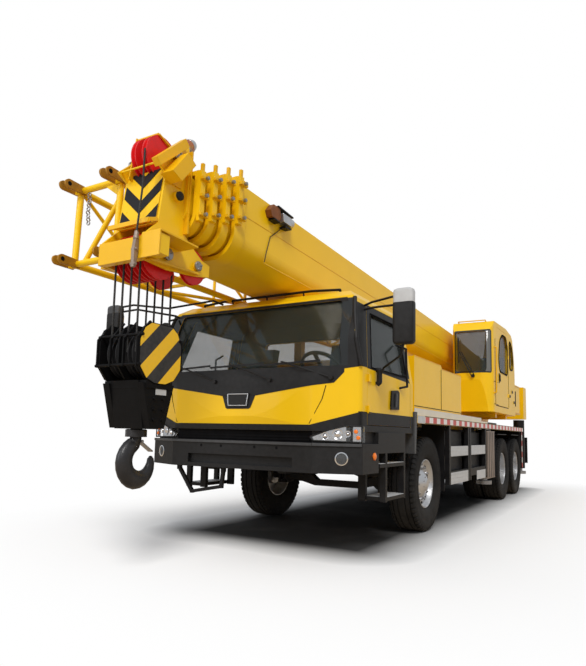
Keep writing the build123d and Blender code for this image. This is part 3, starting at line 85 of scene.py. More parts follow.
# ------------------------------------------------------------------ materials
class Tree:
    """A small hand on a node tree."""

    def __init__(self, tree):
        self.tree = tree

    def add(self, kind, **values):
        node = self.tree.nodes.new(kind)
        for key, value in values.items():
            setattr(node, key, value)
        return node

    def link(self, source, target):
        self.tree.links.new(source, target)

    def set(self, node, **values):
        """Values for a node's inputs, by their names with _ for a space."""
        for key, value in values.items():
            node.inputs[key.replace("_", " ")].default_value = value
        return node

    def plug(self, socket, value):
        """A number, a colour or another node's output into a socket."""
        if isinstance(value, (int, float)):
            socket.default_value = value
        elif isinstance(value, tuple):
            socket.default_value = (*value, 1.0)
        else:
            self.link(value, socket)

    def ramp(self, source, *stops):
        node = self.add("ShaderNodeValToRGB")
        ramp = node.color_ramp
        while len(ramp.elements) < len(stops):
            ramp.elements.new(0.5)
        for element, (place, colour) in zip(ramp.elements, stops):
            element.position = place
            element.color = (*colour, 1.0)
        self.link(source, node.inputs["Fac"])
        return node.outputs["Color"]

    def math(self, operation, a, b=None):
        node = self.add("ShaderNodeMath", operation=operation)
        for socket, value in zip(node.inputs, (a,) if b is None else (a, b)):
            self.plug(socket, value)
        return node.outputs["Value"]

    def mix(self, factor, a, b):
        node = self.add("ShaderNodeMix", data_type="RGBA")
        for place, value in ((0, factor), (6, a), (7, b)):
            self.plug(node.inputs[place], value)
        return node.outputs[2]

    def blend(self, factor, first, second, out):
        """One node's shader or another's, by a factor, into an output's surface."""
        node = self.add("ShaderNodeMixShader")
        for place, source in enumerate((factor, first.outputs[0], second.outputs[0])):
            self.link(source, node.inputs[place])
        self.link(node.outputs[0], out.inputs["Surface"])


class Nodes(Tree):
    """The tree of a new material, with its shader and the piece's own space."""

    def __init__(self, name):
        self.material = bpy.data.materials.new(name)
        self.material.use_nodes = True
        super().__init__(self.material.node_tree)
        self.shader = self.tree.nodes["Principled BSDF"]
        self.coord = self.add("ShaderNodeTexCoord").outputs["Object"]

    def noise(self, scale, detail=4.0):
        node = self.set(self.add("ShaderNodeTexNoise"), Scale=scale, Detail=detail)
        self.link(self.coord, node.inputs["Vector"])
        return node.outputs["Fac"]

    def axes(self):
        node = self.add("ShaderNodeSeparateXYZ")
        self.link(self.coord, node.inputs[0])
        return node.outputs


def surface(name, colour, rough, metal=0.0, coat=0.0, spread=0.06, grain=6.0, bump=0.0, bump_scale=60.0, bevel=0.006,
            specular=0.5, dust=0.0):
    """A finish with slight colour and roughness variation, soft edges and a dusting low down."""
    n = Nodes(name)
    soft = n.noise(grain)
    dark = tuple(max(0.0, c * (1 - spread)) for c in colour)
    light = tuple(min(1.0, c * (1 + spread)) for c in colour)
    tint = n.ramp(soft, (0.3, dark), (0.7, light))
    if dust:
        low = n.math("SUBTRACT", 1.0, n.axes()[2])
        patchy = n.math("MULTIPLY", n.noise(3.0, 8.0), low)
        shade = n.ramp(patchy, (0.25, (0, 0, 0)), (0.75, (dust, dust, dust)))
        tint = n.mix(shade, tint, (0.34, 0.31, 0.27))
    n.link(tint, n.shader.inputs["Base Color"])
    fine = n.noise(grain * 9, 3.0)
    n.link(n.ramp(fine, (0.2, (max(0.02, rough - 0.06),) * 3), (0.8, (min(1.0, rough + 0.07),) * 3)),
           n.shader.inputs["Roughness"])
    n.set(n.shader, Metallic=metal, Coat_Weight=coat, Coat_Roughness=0.12, Specular_IOR_Level=specular)
    normal = None
    if bevel:
        normal = n.set(n.add("ShaderNodeBevel", samples=4), Radius=bevel).outputs["Normal"]
    if bump:
        relief = n.set(n.add("ShaderNodeBump"), Strength=bump, Distance=0.01)
        n.link(n.noise(bump_scale, 6.0), relief.inputs["Height"])
        if normal:
            n.link(normal, relief.inputs["Normal"])
        normal = relief.outputs["Normal"]
    if normal:
        n.link(normal, n.shader.inputs["Normal"])
    return n.material


def stripes(name, direction, pitch, first, second, rough=0.4, offset=0.0):
    """Two colours in bands square to a direction, in the piece's own space."""
    n = Nodes(name)
    dot = n.add("ShaderNodeVectorMath", operation="DOT_PRODUCT")
    n.link(n.coord, dot.inputs[0])
    dot.inputs[1].default_value = Vector(direction).normalized() / pitch
    phase = n.math("FRACT", n.math("ADD", dot.outputs["Value"], 100.0 + offset))
    band = n.math("GREATER_THAN", phase, 0.5)
    wear = n.ramp(n.noise(30.0, 6.0), (0.3, (0.0,) * 3), (0.8, (0.12,) * 3))
    tint = n.mix(band, first, second)
    n.link(n.mix(wear, tint, (0.25, 0.22, 0.18)), n.shader.inputs["Base Color"])
    n.set(n.shader, Roughness=rough)
    return n.material


def pane(name, colour, rough=0.03, alpha=0.35):
    """Tinted safety glass, slightly uneven."""
    n = Nodes(name)
    tint = n.ramp(n.noise(2.0), (0.3, tuple(c * 0.9 for c in colour)), (0.7, colour))
    n.link(tint, n.shader.inputs["Base Color"])
    n.set(n.shader, Roughness=rough, Alpha=alpha, Specular_IOR_Level=0.6, Coat_Weight=0.6, Coat_Roughness=0.02)
    return n.material


YELLOW = surface("crane_yellow", (0.9, 0.555, 0.004), 0.32, coat=0.18, spread=0.03, grain=2.5, specular=0.28)
YELLOW_DEEP = surface("deep_yellow", (0.82, 0.46, 0.004), 0.36, coat=0.12, spread=0.05, grain=3.0, specular=0.28)
BLACK = surface("black_steel", (0.008, 0.008, 0.009), 0.45, spread=0.3, grain=9.0, dust=0.06, specular=0.22)
PLASTIC = surface("black_plastic", (0.014, 0.014, 0.015), 0.5, specular=0.26, spread=0.2, grain=20.0, bump=0.12,
                  bump_scale=400.0, bevel=0.004)
FRAME_GREY = surface("frame_grey", (0.016, 0.016, 0.017), 0.5, spread=0.2, grain=5.0, dust=0.12, specular=0.22)
PLINTH = surface("plinth_grey", (0.62, 0.62, 0.6), 0.45, spread=0.05, grain=4.0, dust=0.2)
RUBBER = surface("tyre_rubber", (0.01, 0.01, 0.0105), 0.74, spread=0.35, grain=14.0, bump=0.25, bump_scale=180.0,
                 bevel=0.003, specular=0.2, dust=0.1)
SILVER = surface("wheel_silver", (0.6, 0.61, 0.63), 0.32, metal=0.85, spread=0.07, grain=8.0, dust=0.3)
STEEL = surface("bare_steel", (0.34, 0.34, 0.35), 0.38, metal=0.9, spread=0.1, grain=12.0)
CHROME = surface("rod_chrome", (0.82, 0.82, 0.84), 0.09, metal=1.0, spread=0.03, grain=4.0, bevel=0.0)
SIDE_PANE = surface("side_pane", (0.13, 0.135, 0.13), 0.08, coat=0.3, spread=0.1, grain=3.0, bevel=0.0, specular=0.5)
RED = surface("sheave_red", (0.72, 0.012, 0.014), 0.36, coat=0.15, specular=0.3, spread=0.1, grain=10.0)
IRON = surface("cast_iron", (0.022, 0.022, 0.024), 0.5, metal=0.2, specular=0.25, spread=0.2, grain=16.0, bump=0.3,
               bump_scale=140.0)
HOOK_GREY = surface("hook_grey", (0.03, 0.03, 0.032), 0.36, metal=0.3, coat=0.08, specular=0.3, spread=0.2, grain=9.0,
                    bump=0.15, bump_scale=90.0)
TRIM = surface("cab_trim", (0.03, 0.03, 0.032), 0.7, specular=0.2, spread=0.12, grain=30.0, bump=0.2,
               bump_scale=300.0)
SEAT = surface("seat_cloth", (0.045, 0.048, 0.055), 0.85, spread=0.2, grain=60.0, bump=0.4, bump_scale=500.0)
ROPE = surface("wire_rope", (0.035, 0.034, 0.033), 0.45, metal=0.3, specular=0.3, spread=0.3, grain=80.0, bump=0.5,
               bump_scale=600.0, bevel=0.0)
ORANGE = surface("marker_orange", (0.9, 0.2, 0.01), 0.25, coat=0.5, spread=0.05, grain=30.0)
GLASS = pane("window_glass", (0.045, 0.06, 0.055), alpha=0.32)
FRIT = surface("dark_glass", (0.01, 0.012, 0.012), 0.06, coat=0.4, spread=0.1, grain=3.0, bevel=0.0, specular=0.5)
LAMP_GLASS = pane("lamp_glass", (0.45, 0.48, 0.5), alpha=0.14)
REFLECTOR = surface("lamp_reflector", (0.75, 0.76, 0.78), 0.12, metal=1.0, spread=0.04, grain=30.0, bevel=0.0)
# Near black for seams and seals; where it stands for holes, bores and slots it is painted shade
DARK_HOLE = surface("dark_opening", (0.006, 0.006, 0.007), 0.85, spread=0.2, grain=10.0, bevel=0.0, specular=0.1)
GREY_PLASTIC = surface("grey_plastic", (0.06, 0.062, 0.066), 0.45, specular=0.3, spread=0.12, grain=20.0, bump=0.1,
                       bump_scale=350.0, bevel=0.004)
PALE_PLASTIC = surface("pale_plastic", (0.5, 0.51, 0.52), 0.45, spread=0.06, grain=15.0, bevel=0.004)
MIRROR = surface("mirror_glass", (0.8, 0.82, 0.84), 0.04, metal=1.0, spread=0.02, grain=3.0, bevel=0.0)
BLOCK_BLACK = surface("block_black", (0.0045, 0.0045, 0.005), 0.52, specular=0.1, spread=0.2, grain=12.0, bump=0.1,
                      bump_scale=120.0)
LUG_BROWN = surface("lug_brown", (0.2, 0.065, 0.015), 0.45, spread=0.2, grain=12.0, specular=0.3)
LUG_OCHRE = surface("lug_ochre", (0.36, 0.17, 0.012), 0.5, spread=0.2, grain=12.0, specular=0.25)
BROWN_METAL = surface("brown_metal", (0.26, 0.2, 0.16), 0.42, metal=0.35, spread=0.2, grain=3.0)
BLOCK_STRIPES = stripes("block_stripes", (1.0, 0, 1.0), 0.215, (0.9, 0.53, 0.006), (0.015, 0.015, 0.016), offset=0.32)
TAPE = stripes("edge_tape", (1, 0, 0), 0.3, (0.55, 0.06, 0.05), (0.78, 0.76, 0.74))
TAPE_UP = stripes("post_tape", (0, 0, 1), 0.24, (0.55, 0.06, 0.05), (0.78, 0.76, 0.74))

# The first word that a node's name holds gives its finish, and the rest is yellow
FINISHES = (
    ("tyre", RUBBER), ("rim", SILVER), ("outrigger_beam", BLACK), ("outrigger_jack", STEEL), ("glass", GLASS),
    ("engine_hood", YELLOW), ("engine", IRON), ("frame", FRAME_GREY), ("side_tanks", FRAME_GREY), ("axle", FRAME_GREY),
    ("knuckle", IRON), ("cab_interior", TRIM), ("headlamps", LAMP_GLASS), ("bumpers", PLASTIC), ("mirror", PLASTIC),
    ("steps", BLACK), ("mudguards", BLACK), ("operator_seat", SEAT), ("head_sheaves", RED), ("hook_block", BLACK),
    ("hook", HOOK_GREY), ("luffing_rod", CHROME))
for node_name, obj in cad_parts.items():
    finish = next((finish for word, finish in FINISHES if word in node_name), YELLOW)
    if not obj.material_slots:
        obj.data.materials.append(finish)
    for slot in obj.material_slots:
        slot.material = finish


# ------------------------------------------------------------------ hands for the small pieces
SIDES = (("left", 1), ("right", -1))


def span(side, near, far):
    """From one distance sideways to another on a side of the crane, low end first."""
    return sorted((side * near, side * far))


def rect(a0, a1, b0, b1):
    """Corners of a rectangle in a plane, from its limits on the two axes."""
    return [(a0, b0), (a1, b0), (a1, b1), (a0, b1)]


def closed(points):
    """Each point with the one after it, and the last with the first."""
    return zip(points, points[1:] + points[:1])


def turns(count):
    """Even angles once round."""
    return [2 * math.pi * i / count for i in range(count)]


def boom_line(y, points):
    """Points along and across the boom, all at one place sideways."""
    return [on_boom(u, v, y) for u, v in points]


def at(x, y, z):
    """A point measured from the front axle's place along the crane."""
    return Vector((FX + x, y, z))


def square_to(way):
    """Two unit directions square to a way and to each other."""
    way = way.normalized()
    helper = Vector((0, 0, 1)) if abs(way.z) < 0.9 else Vector((0, 1, 0))
    first = way.cross(helper).normalized()
    return first, way.cross(first).normalized()


class Shape:
    """Collects simple solids into one mesh that rides on a CAD body."""

    def __init__(self):
        self.mesh = bmesh.new()

    def solid(self, rings, capped=True, looped=False):
        """Rings of points in turn, joined by quads."""
        rows = [[self.mesh.verts.new(point) for point in ring] for ring in rings]
        pairs = list(closed(rows)) if looped else list(zip(rows, rows[1:]))
        for near, far in pairs:
            for i in range(len(near)):
                j = (i + 1) % len(near)
                self.mesh.faces.new((near[i], near[j], far[j], far[i]))
        if capped and not looped:
            self.mesh.faces.new(rows[0])
            self.mesh.faces.new(rows[-1])
        return self

    def prism(self, outline, reach):
        outline = [Vector(p) for p in outline]
        return self.solid([outline, [p + Vector(reach) for p in outline]])

    def box(self, low, high):
        (ax, ay, az), (bx, by, bz) = low, high
        return self.prism([(ax, ay, az), (bx, ay, az), (bx, by, az), (ax, by, az)], (0, 0, bz - az))

    def bar(self, start, end, width, height=None, up=None):
        start, end = Vector(start), Vector(end)
        a, b = square_to(end - start)
        if up is not None:
            a = (end - start).cross(Vector(up)).normalized()
            b = (end - start).cross(a).normalized()
        a, b = a * width / 2, b * (height or width) / 2
        return self.prism([start - a - b, start + a - b, start + a + b, start - a + b], end - start)

    def tube(self, start, end, radius, sides=14, end_radius=None):
        start, end = Vector(start), Vector(end)
        a, b = square_to(end - start)
        rings = []
        for place, size in ((start, radius), (end, radius if end_radius is None else end_radius)):
            rings.append([place + a * size * math.cos(t) + b * size * math.sin(t) for t in turns(sides)])
        return self.solid(rings)

    def ball(self, centre, radius):
        bmesh.ops.create_icosphere(self.mesh, subdivisions=2, radius=radius, matrix=Matrix.Translation(centre))
        return self

    def pipe(self, points, radius, sides=10):
        """A round bar bent at each point."""
        for start, end in zip(points, points[1:]):
            self.tube(start, end, radius, sides)
        for point in points[1:-1]:
            self.ball(Vector(point), radius)
        return self

    def turned(self, centre, way, profile, sides=32, looped=False):
        """A round piece from (distance along the way, radius) points."""
        centre, way = Vector(centre), Vector(way).normalized()
        a, b = square_to(way)
        rings = [[centre + way * s + (a * math.cos(t) + b * math.sin(t)) * max(r, 0.0004) for t in turns(sides)]
                 for s, r in profile]
        return self.solid(rings, looped=looped)

    def done(self, name, body, finish, angle=32):
        bmesh.ops.recalc_face_normals(self.mesh, faces=self.mesh.faces)
        return ride_as(self.mesh, name, body, finish, angle)


def ride_as(mesh, name, body, finish, angle=32):
    """A named object of a mesh under work, smooth up to an angle, on a CAD body."""
    data = bpy.data.meshes.new(name)
    mesh.to_mesh(data)
    mesh.free()
    data.materials.append(finish)
    for face in data.polygons:
        face.use_smooth = True
    data.set_sharp_from_angle(angle=math.radians(angle))
    obj = bpy.data.objects.new(name, data)
    bpy.context.collection.objects.link(obj)
    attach(obj, body)
    return obj


def side_boxes(name, body, finish, *boxes, sides=(1, -1)):
    """Boxes on both sides, each from its two places along, outward and up."""
    shape = Shape()
    for side in sides:
        for along, outward, upward in boxes:
            low, high = span(side, *outward)
            shape.box(at(along[0], low, upward[0]), at(along[1], high, upward[1]))
    return shape.done(name, body, finish)

def skin(name, node, body, finish, outlines, facing, depth=None, push=0.003):
    """A thin cover on a node's outer faces that look one way, cut to convex outlines.

    The outlines lie in the plane square to the facing axis, in the order of the other two axes.
    """
    facing = Vector(facing)
    across = [k for k in range(3) if abs(facing[k]) < 0.5]
    lead = 3 - sum(across)
    cover = bmesh.new()
    for outline in outlines:
        part = bmesh.new()
        part.from_mesh(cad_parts[node].data)
        away = [f for f in part.faces if f.normal.dot(facing) < 0.12]
        bmesh.ops.delete(part, geom=away, context="FACES")
        area = sum(a[0] * b[1] - b[0] * a[1] for a, b in closed(outline))
        turn = 1 if area > 0 else -1
        for a, b in closed(outline):
            place, normal = Vector((0, 0, 0)), Vector((0, 0, 0))
            place[across[0]], place[across[1]] = a
            normal[across[0]], normal[across[1]] = turn * (b[1] - a[1]), -turn * (b[0] - a[0])
            bmesh.ops.bisect_plane(part, geom=part.verts[:] + part.edges[:] + part.faces[:], plane_co=place,
                                   plane_no=normal, clear_outer=True)
        if depth:
            far = [f for f in part.faces if not depth[0] <= f.calc_center_median()[lead] <= depth[1]]
            bmesh.ops.delete(part, geom=far, context="FACES")
        bmesh.ops.translate(part, verts=part.verts, vec=facing * push)
        scratch = bpy.data.meshes.new("scratch")
        part.to_mesh(scratch)
        part.free()
        cover.from_mesh(scratch)
        bpy.data.meshes.remove(scratch)
    bmesh.ops.remove_doubles(cover, verts=cover.verts, dist=0.0004)
    return ride_as(cover, name, body, finish)


# ------------------------------------------------------------------ tyres and wheels
TYRE_RADIUS = 0.56               # as the CAD wheels are


def tyre(shape, x, y):
    """One tyre: ribbed tread, shoulder lugs and rounded walls."""
    half = [(0.113, 0.29), (0.122, 0.3), (0.134, 0.312), (0.146, 0.345), (0.154, 0.385), (0.1575, 0.425),
            (0.156, 0.462), (0.158, 0.468), (0.153, 0.505), (0.146, 0.528), (0.134, 0.543), (0.112, 0.548),
            (0.108, 0.536), (0.098, 0.536), (0.095, 0.557), (0.052, 0.559), (0.049, 0.546), (0.04, 0.546),
            (0.037, 0.56)]
    profile = half + [(-s, r) for s, r in reversed(half)]
    profile += [(-0.108, 0.284), (0.108, 0.284)]
    shape.turned((x, y, AZ), (0, 1, 0), profile, sides=80, looped=True)
    lugs = 54
    for side in (1, -1):
        for i in range(lugs):
            t = 2 * math.pi * (i + (0.5 if side > 0 else 0)) / lugs
            out = Vector((math.cos(t), 0, math.sin(t)))
            along = Vector((-math.sin(t), 0, math.cos(t)))
            width = math.pi * TYRE_RADIUS / lugs * 1.15
            base = Vector((x, y, AZ)) - along * width / 2
            section = [(0.11, 0.54), (0.11, 0.558), (0.13, 0.555), (0.147, 0.543), (0.1555, 0.512), (0.148, 0.51)]
            shape.prism([base + out * r + SIDE * side * s for s, r in section], along * width)


WHEELS = (("front_tyre", "front_wheel", FX, [1.037]), ("second_tyres", "second_wheels", REAR_XS[0], [0.747, 1.087]),
          ("third_tyres", "third_wheels", REAR_XS[1], [0.747, 1.087]))
for group, wheel_body, wheel_x, places in WHEELS:
    # Places outward of the disc's face and of the hub's studs, and the radius and share of the studs' ring
    disc_y, stud_y, reach, share = (1.106, 1.15, 0.105, 0.78) if group == "front_tyre" else (0.941, 1.117, 0.06, 0.7)
    for side_name, side in SIDES:
        body = f"{wheel_body}_{side_name}"
        treads = Shape()
        for place in places:
            tyre(treads, wheel_x, side * place)
        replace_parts(treads.done(f"{group}_{side_name}_tread", body, RUBBER, angle=28), f"{group}_{side_name}")

        # Wheel nuts, hub studs, hand holes and the rim's edge; the hand holes are dark discs on the wheel's face,
        # painted shade standing for the openings
        nuts, holes, trims = Shape(), Shape(), Shape()
        for t in turns(10):
            out = Vector((math.cos(t), 0, math.sin(t)))
            foot = Vector((wheel_x, side * disc_y, AZ)) + out * 0.188
            nuts.tube(foot, foot + SIDE * side * 0.022, 0.019, 6)
            nuts.tube(foot, foot + SIDE * side * 0.036, 0.01, 8)
            t += math.pi / 10
            out = Vector((math.cos(t), 0, math.sin(t)))
            spin = Vector((-math.sin(t), 0, math.cos(t)))
            centre = Vector((wheel_x, side * (disc_y + 0.0015), AZ)) + out * 0.228
            rim = [centre + spin * 0.032 * math.cos(a) + out * 0.017 * math.sin(a) for a in turns(14)]
            # Painted shade: a thin dark disc on the face stands for each hand hole
            holes.prism(rim, SIDE * side * 0.0012)
        for i in range(8):
            t = 2 * math.pi * (i + 0.5) / 8
            out = Vector((math.cos(t), 0, math.sin(t)))
            foot = Vector((wheel_x, side * stud_y, AZ)) + out * reach * share
            nuts.tube(foot - SIDE * side * 0.01, foot + SIDE * side * 0.016, 0.009, 6)
        trims.turned((wheel_x, side * (0.1134 + places[-1]), AZ), (0, side, 0),
                     [(-0.012, 0.2895), (0.007, 0.289), (0.01, 0.284), (0.007, 0.277), (-0.01, 0.275)], 64,
                     looped=True)
        nuts.done(f"{group}_{side_name}_nuts", body, STEEL)
        holes.done(f"{group}_{side_name}_hand_holes", body, DARK_HOLE)
        trims.done(f"{group}_{side_name}_rim_edge", body, SILVER)

# ------------------------------------------------------------------ driver's cab
WAIST = 1.745
SILL = 1.205                     # lower edge of the yellow panel at the front
SIDE_SILL = 1.333                # and along the sides
CAB_HALF = 1.235
BEYOND = 1.24                    # just outside the cab's half width
COWL_TOP = WAIST + 0.004
PILLAR_TOP = 2.415


def cab_side(z):
    """The cab's half width at a height: it leans in above the waist."""
    return CAB_HALF - max(0.0, z - 1.685) * 0.1757


def front_skin(name, finish, outlines, back=1.6, push=0.003):
    """A cover on the cab's front faces, from a place behind them."""
    skin(name, "cab_shell", "chassis", finish, outlines, (1, 0, 0), (FX + back, FX + 2.4), push)


# Black cowl under the screen with its point in the middle
cowl = [[(-1.0, COWL_TOP), (-1.0, 1.59), (-0.2, 1.478), (0.2, 1.478), (1.0, 1.59), (1.0, COWL_TOP)],
        [(-0.2, 1.485), (-0.15, 1.362), (-0.13, 1.35), (0.13, 1.35), (0.15, 1.362), (0.2, 1.485)]]
for side in (1, -1):
    cowl.append([(side * 1.0, COWL_TOP), (side * 1.0, 1.59), (side * 1.085, 1.688), (side * 1.085, COWL_TOP)])
    cowl.append([(side * 1.085, COWL_TOP), (side * 1.085, 1.688), (side * 1.2, 1.738), (side * BEYOND, 1.744),
                 (side * BEYOND, COWL_TOP)])
front_skin("cab_cowl", PLASTIC, cowl, 1.7)
# Black pillars and the frame round the screen
front_skin("cab_pillars", PLASTIC, [rect(side * BEYOND, side * 1.112, COWL_TOP, PILLAR_TOP) for side in (1, -1)])
front_skin("screen_dark_edge", FRIT, [rect(side * 1.112, side * 0.8, COWL_TOP, PILLAR_TOP) for side in (1, -1)])
front_skin("screen_header", PLASTIC, [[(-1.05, 2.38), (1.05, 2.38), (1.03, 2.425), (-1.03, 2.425)]], push=0.0035)
for side_name, side in SIDES:
    door = f"cab_door_{side_name}"
    reach = span(side, 1.0, 1.26)
    band = rect(FX + 0.69, FX + 2.3, 1.14, SIDE_SILL)
    pillar = [(FX + 1.9, WAIST), (FX + 2.26, WAIST), (FX + 2.02, 2.38), (FX + 1.6, 2.38)]
    window = [(FX + 0.78, WAIST), (FX + 1.97, WAIST), (FX + 1.76, 2.4), (FX + 0.78, 2.4)]
    for name, node, body, outline, depth in (("cab_pillar", "cab_shell", "chassis", pillar, reach),
                                             ("cab_side_band", "cab_shell", "chassis", band, span(side, 1.2, 1.26)),
                                             ("door_band", door, door, band, reach),
                                             ("door_frame", door, door, window, reach)):
        skin(f"{name}_{side_name}", node, body, PLASTIC, [outline], (0, side, 0), depth)
    edge = rect(side * 1.0, side * 1.26, WAIST, 2.45)
    sill = rect(FX + 0.8, FX + 1.95, side * 1.0, side * 1.26)
    for face, outline, normal, depth in (("front", edge, (1, 0, 0), (FX + 0.75, FX + 1.9475)),
                                         ("rear", edge, (-1, 0, 0), (FX + 0.85, FX + 1.96)),
                                         ("head", sill, (0, 0, -1), (2.1, 2.42)),
                                         ("foot", sill, (0, 0, 1), (1.7, 1.86))):
        skin(f"door_reveal_{face}_{side_name}", door, door, PLASTIC, [outline], normal, depth)
front_band = [rect(-0.8, 0.8, 1.14, SILL)]
for side in (1, -1):
    front_band.append([(side * 0.8, 1.14), (side * BEYOND, 1.14), (side * BEYOND, SIDE_SILL), (side * 0.8, SILL)])
front_skin("cab_front_band", PLASTIC, front_band, 1.8)


def nose_x(y, z):
    """How far forward the cab's front face stands at a height and a place across it."""
    heights = [(1.15, -0.025), (1.28, 0.0), (1.6, -0.02), (WAIST, -0.045), (2.445, -0.305), (2.52, -0.43)]
    lean = heights[-1][1]
    for (z0, x0), (z1, x1) in zip(heights, heights[1:]):
        if z <= z1:
            lean = x0 + (x1 - x0) * (max(z, z0) - z0) / (z1 - z0)
            break
    y = abs(y)
    plan = -0.022 * (y / 0.81) ** 2 if y < 0.81 else -0.022 - 0.168 * (y - 0.81) / 0.415
    return 2.28 + min(lean, plan)


def on_nose(y, z, out=0.0):
    return at(nose_x(y, z) + out, y, z)


# Beads that close the cab's front corners, and dark linings inside the cab
corners = Shape()
for side in (1, -1):
    path = [on_nose(side * cab_side(z), z) for z in (COWL_TOP, 2.0, 2.25, PILLAR_TOP)]
    corners.pipe(path, 0.021, 14)
corners.done("cab_corner_beads", "chassis", PLASTIC)
lower_corners = Shape()
for side in (1, -1):
    lower_corners.pipe([on_nose(side * 1.2345, 1.165), on_nose(side * 1.2345, SIDE_SILL)], 0.006)
lower_corners.done("cab_band_corners", "chassis", PLASTIC)
skin("cab_roof_lining", "cab_shell", "chassis", TRIM, [rect(FX + 0.7, FX + 2.3, -1.2, 1.2)], (0, 0, -1), (2.3, 2.51))
skin("cab_rear_lining", "cab_shell", "chassis", TRIM, [rect(-BEYOND, BEYOND, 1.15, 2.5)], (1, 0, 0),
     (FX + 0.7, FX + 0.9))
for side_name, side in SIDES:
    wall, reach = rect(FX + 0.72, FX + 2.25, 1.2, 2.48), span(side, 1.0, 1.232)
    skin(f"cab_side_lining_{side_name}", "cab_shell", "chassis", TRIM, [wall], (0, -side, 0), reach)
    door = f"cab_door_{side_name}"
    skin(f"door_lining_{side_name}", door, door, TRIM, [wall], (0, -side, 0), reach)

# Raised shield on the cowl's point, left plain
shield = Shape()
shield.prism([on_nose(y, z, 0.004) for y, z in ((-0.115, 1.375), (0.115, 1.375), (0.13, 1.5), (-0.13, 1.5))],
             (0.014, 0, 0))
shield.done("cowl_shield", "chassis", PLASTIC)
rim_bar = Shape()
corner = [on_nose(y, z, 0.018) for y, z in ((-0.108, 1.382), (0.108, 1.382), (0.122, 1.494), (-0.122, 1.494))]
for a, b in closed(corner):
    rim_bar.bar(a, b, 0.008)
rim_bar.done("cowl_shield_edge", "chassis", SILVER)

# Panel seams beside the front flap
seams = Shape()
for side in (1, -1):
    path = [on_nose(side * y, z, 0.001) for y, z in ((0.93, 1.56), (0.9, 1.44), (0.79, 1.215))]
    for a, b in zip(path, path[1:]):
        seams.bar(a, b, 0.006)
    seams.bar(on_nose(side * 0.93, 1.565, 0.001), on_nose(side * 0.93, 1.56, 0.001), 0.006)
seams.done("front_flap_seams", "chassis", DARK_HOLE)

# Wipers: three arms from the cowl
wipers = Shape()
for y, z in ((-0.3, 1.625), (0.36, 1.625), (0.98, 1.635)):
    root = on_nose(y, z, 0.02)
    elbow = on_nose(y - 0.3, 1.735, 0.035)
    tip = on_nose(y - 0.52, 1.8, 0.018)
    wipers.tube(on_nose(y, z, 0.0), on_nose(y, z, 0.035), 0.02, 12)
    wipers.pipe([root, elbow, tip], 0.008)
    blade_a, blade_b = on_nose(y - 0.75, 1.772, 0.016), on_nose(y - 0.1, 1.792, 0.016)
    wipers.bar(blade_a, blade_b, 0.012, 0.018)
wipers.done("wipers", "chassis", PLASTIC)

# Grille slot, bumper lines, fog lamps and markers; a dark sheet behind the grille's bars and dark plugs in the bumper
# are painted shade standing for the slot and the holes
BUMPER_X = 2.265                 # bumper's front face
grille = Shape()
for z in (1.065, 1.092, 1.119):
    grille.bar(at(BUMPER_X - 0.04, -0.78, z), at(BUMPER_X - 0.04, 0.78, z), 0.012, 0.01)
# Painted shade: a thin dark sheet behind the bars stands for the slot's opening
grille.box(at(BUMPER_X - 0.048, -0.8, 1.042), at(BUMPER_X - 0.0425, 0.8, 1.149))
grille.done("grille_bars", "chassis", DARK_HOLE)
shelf = Shape()
nose = [(BUMPER_X - 0.165, -1.243), (BUMPER_X + 0.004, -0.83), (BUMPER_X + 0.004, 0.83), (BUMPER_X - 0.165, 1.243)]
for (xa, ya), (xb, yb) in zip(nose, nose[1:]):
    shelf.bar(at(xa, ya, 1.028), at(xb, yb, 1.028), 0.02, 0.026, up=(0, 0, 1))
shelf.done("bumper_shelf", "chassis", GREY_PLASTIC)
lamps, lenses, holes = Shape(), Shape(), Shape()
for side in (1, -1):
    spot = at(2.165, side * 1.075, 0.905)
    way = Vector((0.93, side * 0.37, 0)).normalized()
    lamps.turned(spot - way * 0.03, way, [(0.0, 0.06), (0.034, 0.06), (0.036, 0.05), (0.02, 0.04), (0.012, 0.0)], 28)
    lenses.turned(spot - way * 0.03, way, [(0.03, 0.048), (0.037, 0.03), (0.038, 0.0)], 28)
# Painted shade: short dark plugs stand for the bumper's holes
for y in (-0.45, -0.2, 0.2, 0.45):
    holes.tube(at(BUMPER_X - 0.012, y, 0.985), at(BUMPER_X + 0.001, y, 0.985), 0.014, 16)
lamps.done("fog_lamps", "chassis", REFLECTOR)
lenses.done("fog_lamp_lenses", "chassis", LAMP_GLASS)
holes.done("bumper_holes", "chassis", DARK_HOLE)
markers = Shape()
for side in (1, -1):
    markers.turned(at(1.83, side * 1.249, 0.925), (0, side, 0),
                   [(0.0, 0.035), (0.01, 0.034), (0.018, 0.02), (0.02, 0.0)], 20)
    for x in (-0.95, -2.2, -3.6):
        markers.box(at(x, side * 1.251 - 0.001, 1.29), at(x + 0.07, side * 1.251 + 0.001, 1.32))
markers.done("side_markers", "chassis", ORANGE)

